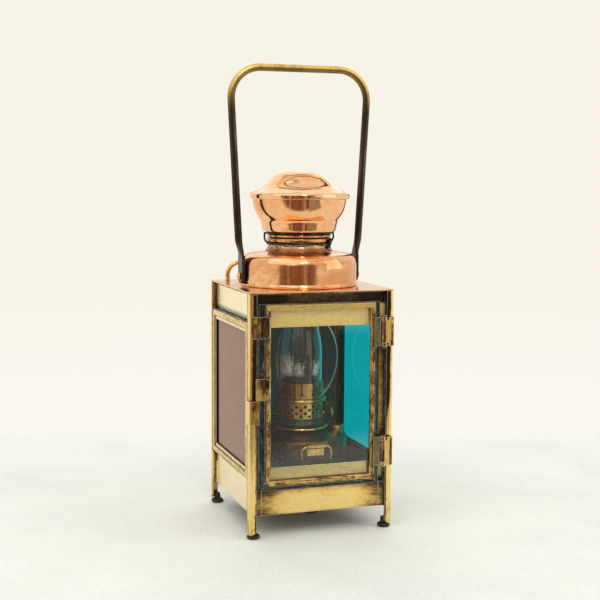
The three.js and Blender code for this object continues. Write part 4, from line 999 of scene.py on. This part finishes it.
def tab_mesh(bearing):
    """A tab that stands in the cup and carries the cap."""
    thick, wide, tall, out, middle = 0.9, 7, 12, 39.2, 278.3
    made = bmesh.new()
    bmesh.ops.create_cube(made, size=1.0)
    for vert in made.verts:
        vert.co = vert.co * Vector((thick, wide, tall)) + Vector((out, 0, middle))
    bmesh.ops.bevel(made, geom=made.edges[:], offset=0.2, segments=2, affect="EDGES")
    turn = Matrix.Rotation(math.radians(bearing), 4, "Z")
    for vert in made.verts:
        vert.co = (turn @ vert.co + BACK) * MM
    return stored(made)


def neck_ring(radius, height, wave, count, phase=0.0):
    """A ring round the neck, waving a little up and down."""
    return [BACK + spoke(a, radius, height + wave * math.sin(count * a + phase)) for a in turns(96)]


def add_tie_wire():
    """The hold-down wire: two rings, two hooks and a twisted knot; and the flux on the neck."""
    meshes = [sweep(neck_ring(NECK_WIRE, WIRE_RISE, 0.35, 3, 0.6), 0.72, 12, closed=True)]
    meshes.append(sweep(neck_ring(NECK_WIRE, WIRE_TOP, 0.12, 5), 0.95, 12, closed=True))
    for side in (-1, 1):
        corners = [(NECK_WIRE, WIRE_RISE), (30.4, 243.0), (31.7, 246.0), (31.4, 251.2)]
        hook = filleted([(side * x, 0, z) for x, z in corners], [1.6, 2.0], 5)
        meshes.append(sweep([p + BACK for p in hook], 0.8, 12))
        eye = [spoke(a, 0.9, 250.2 + 0.3 * math.sin(2 * a)) + Vector((30.6, 0, 0)) for a in turns(20)]
        meshes.append(sweep([p * Vector((side, 1, 1)) + BACK for p in eye], 0.6, 10, closed=True))
    bearing = math.radians(-46)
    out, across = spoke(bearing, 1.0), spoke(bearing + math.pi / 2, 1.0)
    for phase in (0, math.pi):
        strand = []
        for share in [i / 49 for i in range(50)]:
            turn = phase + share * 4 * math.pi
            spot = BACK + out * (28.5 + 1.3 * share) + Vector((0, 0, 238.4 + 7.5 * share))
            strand.append(spot + (out * math.cos(turn) + across * math.sin(turn)) * 0.85)
        meshes.append(sweep(strand, 0.85, 12))
    finish_piece("wire_tie", merged(meshes), wire_material(), "tie_wire")
    crust = sweep(neck_ring(27.5, 240.5, 0.4, 4, 1), 0.8, 10, closed=True, flat=0.8, rough=1.3, seed=3.7)
    finish_piece("neck_flux", crust, flux_material())


def add_bail():
    """The bail's round bar, which flattens towards its hammered eyes."""
    start, overlap, radius, thinner, wider = 53.8, 6, 3.2, 1.8, 3.0
    flat_from, flat_over = 245, 14
    lean = (BAIL_REACH - start) / (BAIL_TOP - BAIL_CORNER - BAIL_FOOT)
    reach = start + lean * (BAIL_TOP - BAIL_FOOT)
    foot = BAIL_FOOT - overlap
    corners = [(-start, 0, foot), (-reach, 0, BAIL_TOP), (reach, 0, BAIL_TOP), (start, 0, foot)]
    bar = [p + BACK for p in spaced(filleted(corners, [BAIL_CORNER, BAIL_CORNER], 18), 4)]
    points, sides = [], 24
    for i, place in enumerate(bar):
        along = (bar[min(i + 1, len(bar) - 1)] - bar[max(i - 1, 0)]).normalized()
        inward = Vector((-along.z, 0, along.x))
        share = min(max((flat_from - place.z) / flat_over, 0), 1)
        flat = share * share * (3 - 2 * share)
        shift = Vector((math.copysign(thinner * flat, -place.x), 0, 0))
        for angle in turns(sides):
            power = 1 - 0.45 * flat
            u = math.copysign(abs(math.cos(angle)) ** power, math.cos(angle)) * (radius - thinner * flat)
            v = math.copysign(abs(math.sin(angle)) ** power, math.sin(angle)) * (radius + wider * flat)
            points.append(place + shift + inward * u + Vector((0, v, 0)))
    meshes = [mesh_of(points, tube_faces(len(bar), sides)), eye_mesh(-1), eye_mesh(1)]
    finish_piece("bail_bar", merged(meshes), bail_material(), "bail", "bail")


def eye_mesh(side):
    """A flat eye with a round end and a rivet hole."""
    half, neck, hole, thick, out = 6.2, 6.05, 2.4, 2.8, 52.0
    outer = [spoke(math.pi * (1 + k / 20), half).xy for k in range(21)]
    outer += [(half, 15.0), (neck, 18.0), (-neck, 18.0), (-half, 15.0)]
    inner = [spoke(a, hole).xy for a in turns(24)]
    made = bmesh.new()
    loops = []
    for ring in (outer, inner):
        verts = [made.verts.new((0, u, v)) for u, v in ring]
        loops += [made.edges.new((verts[i - 1], verts[i])) for i in range(len(verts))]
    bmesh.ops.triangle_fill(made, use_beauty=True, edges=loops)
    grown = bmesh.ops.extrude_face_region(made, geom=made.faces[:])
    for item in grown["geom"]:
        if isinstance(item, bmesh.types.BMVert):
            item.co.x += thick
    bmesh.ops.recalc_face_normals(made, faces=made.faces)
    for vert in made.verts:
        vert.co = (vert.co + BACK + Vector((side * out - thick / 2, 0, PIVOT))) * MM
    return stored(made)


def laid(mesh, angle, axis, place):
    """Turns a mesh about one of the world's axes, and moves it to a place in millimetres."""
    mesh.transform(Matrix.Translation(Vector(place) * MM) @ Matrix.Rotation(angle, 4, axis))
    return mesh


def add_rivets():
    outline = rounded([
        (0, 49.9, 0), (3.0, 49.9, 0), (3.0, 50.1, 0), (2.0, 50.3, 0), (2.0, 53.9, 0), (3.2, 53.9, 0.3),
        (3.3, 54.6, 0.5), (2.6, 55.7, 0.8), (1.2, 56.2, 0.6), (0, 56.25, 0),
    ])
    for side, name in ((-1, "left"), (1, "right")):
        mesh = laid(lathe(outline, (0, 0), 40, 0.1, side), side * math.pi / 2, "Y", (0, HEAD[1], PIVOT))
        copper = copper_material(f"rivet_{name}", side * 2.0)
        finish_piece(f"rivet_{name}", mesh, copper, f"bail_rivet_{name}")


def add_rear_loop():
    reach, behind, foot, top, bend, wire = 48, 60, 205.6, 220.5, 11, 2.0
    corners = [(x, behind, z) for x, z in ((-reach, foot), (-reach, top), (reach, top), (reach, foot))]
    meshes = [sweep([p + BACK for p in spaced(filleted(corners, [bend, bend], 14), 3)], wire, 20)]
    for side in (-1, 1):
        lump = Vector((side * reach, behind, foot + 0.5)) + BACK
        meshes.append(solder_lump(lump, (3.0, 2.6, 0.75), 4.0 * side))
    finish_piece("hanging_loop", merged(meshes), lamp_brass, "rear_loop")


def add_reflector():
    dish = [(MIRROR_RADIUS * s, -MIRROR_DEPTH * (1 - s * s)) for s in [i / 16 for i in range(17)]]
    rim = [(MIRROR_RADIUS + 0.7 + 0.8 * math.cos(a), 0.6 + 0.8 * math.sin(a)) for a in turns(12)]
    mesh = merged([lathe(walled(dish), (0, 0)), lathe(rim, (0, 0))])
    laid(mesh, math.pi / 2, "X", (0, MIRROR_BACK + HEAD[1], MIRROR_RISE))
    finish_piece("mirror_dish", mesh, mirror_material(), "reflector")


def add_lamp():
    """The font and burner, turned finely."""
    tin = patina_brass("font_brass", DARK_TONES, (0.36, 0.5, 0.66), (0.22, 0.42), seed=17.1)
    font = rounded([
        (0, 22.8, 0), (40.2, 22.8, 0.6), (41.0, 23.8, 0.6), (41.0, 73.2, 0.8), (40.1, 74.7, 0.6),
        (38.6, 75.1, 0.8), (27, 78.4, 4), (14.1, 80.2, 0),
    ])
    shell = cut_filler(lathe(walled(font), LAMP, MEDIUM, 0.12, 5.0))
    finish_piece("oil_font", shell, tin, "lamp_font")
    neck = rounded([(5.2, 75.4, 0), (5.2, 79.9, 0.2), (4.3, 79.9, 0.2), (4.3, 75.4, 0)])
    finish_piece("filler_ring", lathe(neck, FILLER, SMALL), lamp_brass, "filler_neck")
    cap = rounded([
        (5.5, 79.6, 0), (6.2, 79.6, 0.2), (6.3, 81.6, 0.3), (5.6, 82.4, 0.4), (3.0, 82.5, 0.3),
        (2.4, 82.35, 0.3), (0, 82.3, 0), (0, 80.2, 0), (5.5, 80.2, 0),
    ])
    lid = knurled(lathe(cap, FILLER, 120), FILLER, 5.9, 40, 0.12)
    finish_piece("filler_lid", lid, lamp_brass, "filler_cap", "filler_cap")
    collar_brass = patina_brass(
        "collar_brass", shades(BRASS, "bright gold smoke slate"), (0.46, 0.56, 0.66, 0.80), (0.24, 0.5),
        collar_highlight_cover, edge_wear_and_shine=0.4, seed=22.9,
    )
    thread = [(r, 85.0 + 0.6 * i) for i, r in enumerate((19.6, 20.1) * 3 + (19.6,))]
    collar = rounded([
        (12.7, 77, 0), (13.7, 77, 0), (13.7, 80.5, 0), (23.6, 80.5, 0.4), (24.3, 81.4, 0.5),
        (23.8, 82.5, 0.5), (21.5, 83.3, 1.0), (19.9, 84.3, 0.5), (*thread[0], 0.2),
        *((*point, 0.3) for point in thread[1:]), (19.6, 90.2, 0), (18.6, 90.2, 0), (18.6, 84.5, 0),
        (12.7, 81.5, 0),
    ], 3)
    finish_piece("screw_collar", lathe(collar, LAMP, MEDIUM), collar_brass, "burner_collar")
    rest = rounded([
        (16, 103.8, 0), (21.5, 103.8, 0.8), (22.7, 105.2, 0.9), (22.6, 106.6, 0.9), (21.4, 107.8, 0.7),
        (16, 107.8, 0),
    ])
    finish_piece("gallery_ring", lathe(rest, LAMP, MEDIUM), burner_brass, "gallery_rest")
    glass = curved([
        (18.8, 109.3), (18.9, 120), (18.9, 132), (18.9, 142), (18.85, 148), (18.5, 153), (17.6, 159.5),
        (16.2, 166.5), (15.1, 173.5), (14.55, 180), (14.4, 184.6), (14.35, 185.0),
    ])
    chimney_glass = glass_material("chimney_glass", (0.97, 0.98, 0.98), dust_and_painted_light=chimney_painted_glare)
    chimney = lathe(walled(glass, 1.1), LAMP, MEDIUM)
    finish_piece("lamp_glass", chimney, chimney_glass, "glass_chimney")
    wheel = rounded([
        (0, 25.1, 0), (4.6, 25.1, 0.4), (5.4, 25.7, 0.3), (5.4, 27.3, 0.3), (4.6, 27.9, 0.4),
        (2.5, 27.9, 0.3), (2.0, 27.6, 0.2), (0, 27.6, 0),
    ])
    knob = knurled(lathe(wheel, (0, 0), 96), (0, 0), 5.0, 24, 0.16)
    laid(knob, math.pi / 2, "Y", KNOB)
    finish_piece("thumb_wheel", knob, lamp_brass, "wick_knob", "wick_drive")


def cut_filler(mesh):
    """Opens the font's shoulder round the filler neck."""
    made = bmesh.new()
    made.from_mesh(mesh)
    doomed = []
    for face in made.faces:
        middle = face.calc_center_median() / MM
        if middle.z > FONT_SHOULDER and (middle.xy - Vector(FILLER)).length < FILLER_HOLE:
            doomed.append(face)
    bmesh.ops.delete(made, geom=doomed, context="FACES")
    return stored(made, mesh)


def add_ring_pull():
    corners = [(0.2, 71.5), (13.9, 71.5), (12, 46.5), (-12, 46.5), (-13.9, 71.5), (-0.2, 71.5)]
    path = filleted([(x, PULL_FRONT, z) for x, z in corners], [5, 9, 9, 5], 10)
    finish_piece("pull_ring", sweep(spaced(path, 2), 1.1), lamp_brass, "ring_pull", "ring_pull")


def solder_piece(name, body, runs, lumps, run_seed, lump_seed):
    """Beads of solder given as (start, end, radius), and lumps as (centre, size)."""
    meshes = []
    for i, (start, end, radius) in enumerate(runs):
        meshes.append(solder_run(Vector(start) + BACK, Vector(end) + BACK, radius, run_seed * i))
    for i, (centre, size) in enumerate(lumps):
        meshes.append(solder_lump(Vector(centre) + BACK, size, lump_seed * i))
    finish_piece(name, merged(meshes), solder, body=body)


def add_solder():
    """Solder on the box, round its windows, along its panels and under its plate, and on the door."""
    runs = []
    for side in (-1, 1):
        seam, corner = side * 61.6, side * 60.4
        runs += [((seam, y, 48), (seam, y, 181), 0.95) for y in (-55.6, 55.6)]
        runs += [((seam, -54, z), (seam, 54, z), 0.9) for z in (49.6, 180.2)]
        for y in (-56.6, 56.6):
            runs += [((corner, y, low), (corner, y, high), 0.8) for low, high in ((20, 48), (182, 203))]
        runs.append(((side * 60.3, -55, 203.2), (side * 60.3, 55, 203.2), 0.8))
        runs += [((side * 57.0, y, 20), (side * 57.0, y, 202.6), 0.95) for y in (-60.6, 60.6)]
    runs += [((-55, y, 203.3), (55, y, 203.3), 0.85) for y in (-60.4, 60.4)]
    corners = ((-59.2, -60.6), (59.2, -60.6), (-60.6, 58.6), (60.6, 58.6))
    lumps = [((x, y, 202.6), (2.4, 2.0, 1.2)) for x, y in corners]
    for side in (-1, 1):
        lumps += [((side * 62.0, y, z), (1.1, 1.9, 1.9)) for y in (-55.2, 55.2) for z in (49.8, 180.0)]
    solder_piece("box_solder", "housing", runs, lumps, 0.7, 1.3)
    uprights = [(-50.6, -63.5, 42, 193, 0.55), (47.4, -63.5, 42, 193, 0.5), (-55.4, -62.6, 41, 195, 0.7)]
    uprights.append((50.4, -62.6, 41, 195, 0.6))
    runs = [((x, y, low), (x, y, high), radius) for x, y, low, high, radius in uprights]
    runs.insert(2, ((-53, -63.5, 43.4), (48, -63.5, 43.4), 0.5))
    runs.append(((-54, -62.6, 40.6), (49, -62.6, 40.6), 0.7))
    lumps = [
        ((-48.5, -63.8, 46.0), (2.6, 0.8, 2.4)),
        ((45.6, -63.8, 46.2), (2.8, 0.9, 2.6)),
        ((45.4, -64.5, 84.6), (2.4, 1.0, 2.2)),
        ((45.8, -64.4, 55.6), (1.8, 0.9, 1.4)),
        ((45.8, -64.5, 157.6), (2.0, 1.0, 2.0)),
        ((45.8, -64.4, 183.6), (1.8, 0.9, 1.3)),
        ((-47.5, -64.7, 166.6), (1.6, 0.8, 1.0)),
        ((-47.2, -64.7, 186.2), (1.8, 0.8, 0.9)),
        ((-47.6, -64.7, 116.4), (1.6, 0.8, 0.9)),
        ((-48.0, -64.7, 135.4), (1.8, 0.8, 0.9)),
    ]
    solder_piece("door_solder", "door", runs, lumps, 0.9, 2.1)


# Floor, background and light

def add_floor():
    """A pale floor, which fades out before its edge."""
    made = bmesh.new()
    bmesh.ops.create_grid(made, x_segments=8, y_segments=8, size=1.0)
    mesh = stored(made, bpy.data.meshes.new("floor"))
    floor = bpy.data.objects.new("floor", mesh)
    bpy.context.scene.collection.objects.link(floor)
    floor.rotation_euler.z = -YAW
    net = Net("floor")
    x, y, _ = net.axes
    fade = net.most(net.smooth(net.off(y), 250, 360), net.smooth(net.off(x), 420, 550))
    speckle = net.noise(260, 6, 0.75)
    tone = net.blend([(speckle, 0.6), (net.noise(9, 4, 0.6), 0.4)])
    inputs = {"Base Color": net.ramp(tone, (0.38, 0.56), (FLOOR_LOW, FLOOR)), "Roughness": 0.7}
    paint = net.out("BsdfPrincipled", {**inputs, "Normal": net.bump(speckle, 0.0012, 0.35)})
    net.finish(net.out("MixShader", {0: fade, 1: paint, 2: net.out("BsdfTransparent")}))
    mesh.materials.append(net.material)


def add_lights():
    for name, (place, size, power, colour, _) in LIGHTS.items():
        data = bpy.data.lights.new(name, "AREA")
        data.shape = "RECTANGLE"
        data.size, data.size_y = size
        data.energy = power
        data.color = colour
        light = bpy.data.objects.new(name, data)
        bpy.context.scene.collection.objects.link(light)
        light.location = place
        light.rotation_euler = (AIM - Vector(place)).to_track_quat("-Z", "Y").to_euler()


def add_world():
    """A pale room: even light, and for gloss a darker side behind the camera and a dim doorway beside it."""
    world = bpy.data.worlds.new("studio")
    bpy.context.scene.world = world
    world.use_nodes = True
    net = Net("studio", world.node_tree)
    way = net.out("TexCoord", output="Generated")
    facing = net.dot(way, (-math.sin(YAW), -math.cos(YAW), 0))
    aside = net.dot(way, (math.cos(YAW), -math.sin(YAW), 0))
    height = net.out("SeparateXYZ", {0: way}, 2)
    seen = net.mix(net.smooth(height, 0.15, 0.95), ROOM["low"], ROOM["high"])
    for place, *_, dim in LIGHTS.values():
        if dim:
            near = net.smooth(net.dot(way, (Vector(place) - AIM).normalized()), *dim)
            seen = net.mix(near, seen, ROOM["by_light"])
    stripes = net.noise(7.0, 3.0, vector=net.out("CombineXYZ", {0: aside}))
    tones = ((0.10, 0.04, 0.035), (0.24, 0.12, 0.09), (0.58, 0.46, 0.37))
    dark = net.ramp(stripes, (0.36, 0.50, 0.64), tones)
    behind = [net.smooth(facing, 0.69, 0.82), net.smooth(height, 0.40, 0.28), net.smooth(aside, 0.62, 0.52)]
    seen = net.mix(net.times(*behind), seen, dark)
    low = net.times(net.smooth(height, -0.120, -0.132), net.smooth(facing, 0.4, 0.5))
    seen = net.mix(net.times(net.within(aside, 0.40, 0.74, 0.05), low), seen, ROOM["corner"])
    turn = net.math("DIVIDE", aside, net.most(facing, 0.1))
    doorway = net.times(net.within(turn, 0.71, 0.89, 0.02), net.within(height, -0.275, -0.134, 0.006))
    depths = net.mix(net.smooth(turn, 0.816, 0.832), ROOM["doorway"], ROOM["depths"])
    seen = net.mix(doorway, seen, depths)
    overhead = net.mix(net.smooth(height, -0.1, 0.6), ROOM["from_below"], ROOM["from_above"])
    backdrop = net.mix(net.smooth(height, -0.08, -0.21), BACKGROUND, HORIZON)
    lit, mirror, plain = (
        net.out("Background", {"Color": colour, "Strength": strength})
        for colour, strength in ((overhead, 0.79), (seen, 1.0), (backdrop, 1.0))
    )
    rays = net.node("LightPath").outputs
    gloss = net.math("ADD", rays["Is Glossy Ray"], rays["Is Transmission Ray"], clamp=True)
    unseen = net.out("MixShader", {0: gloss, 1: lit, 2: mirror})
    net.finish(net.out("MixShader", {0: rays["Is Camera Ray"], 1: unseen, 2: plain}), "OutputWorld")


add_camera()
dress_box()
add_feet()
add_stud()
add_head()
add_tie_wire()
add_bail()
add_rivets()
add_rear_loop()
add_reflector()
add_lamp()
add_ring_pull()
add_solder()
add_floor()
add_world()
add_lights()
bpy.context.scene.view_settings.view_transform = "Standard"
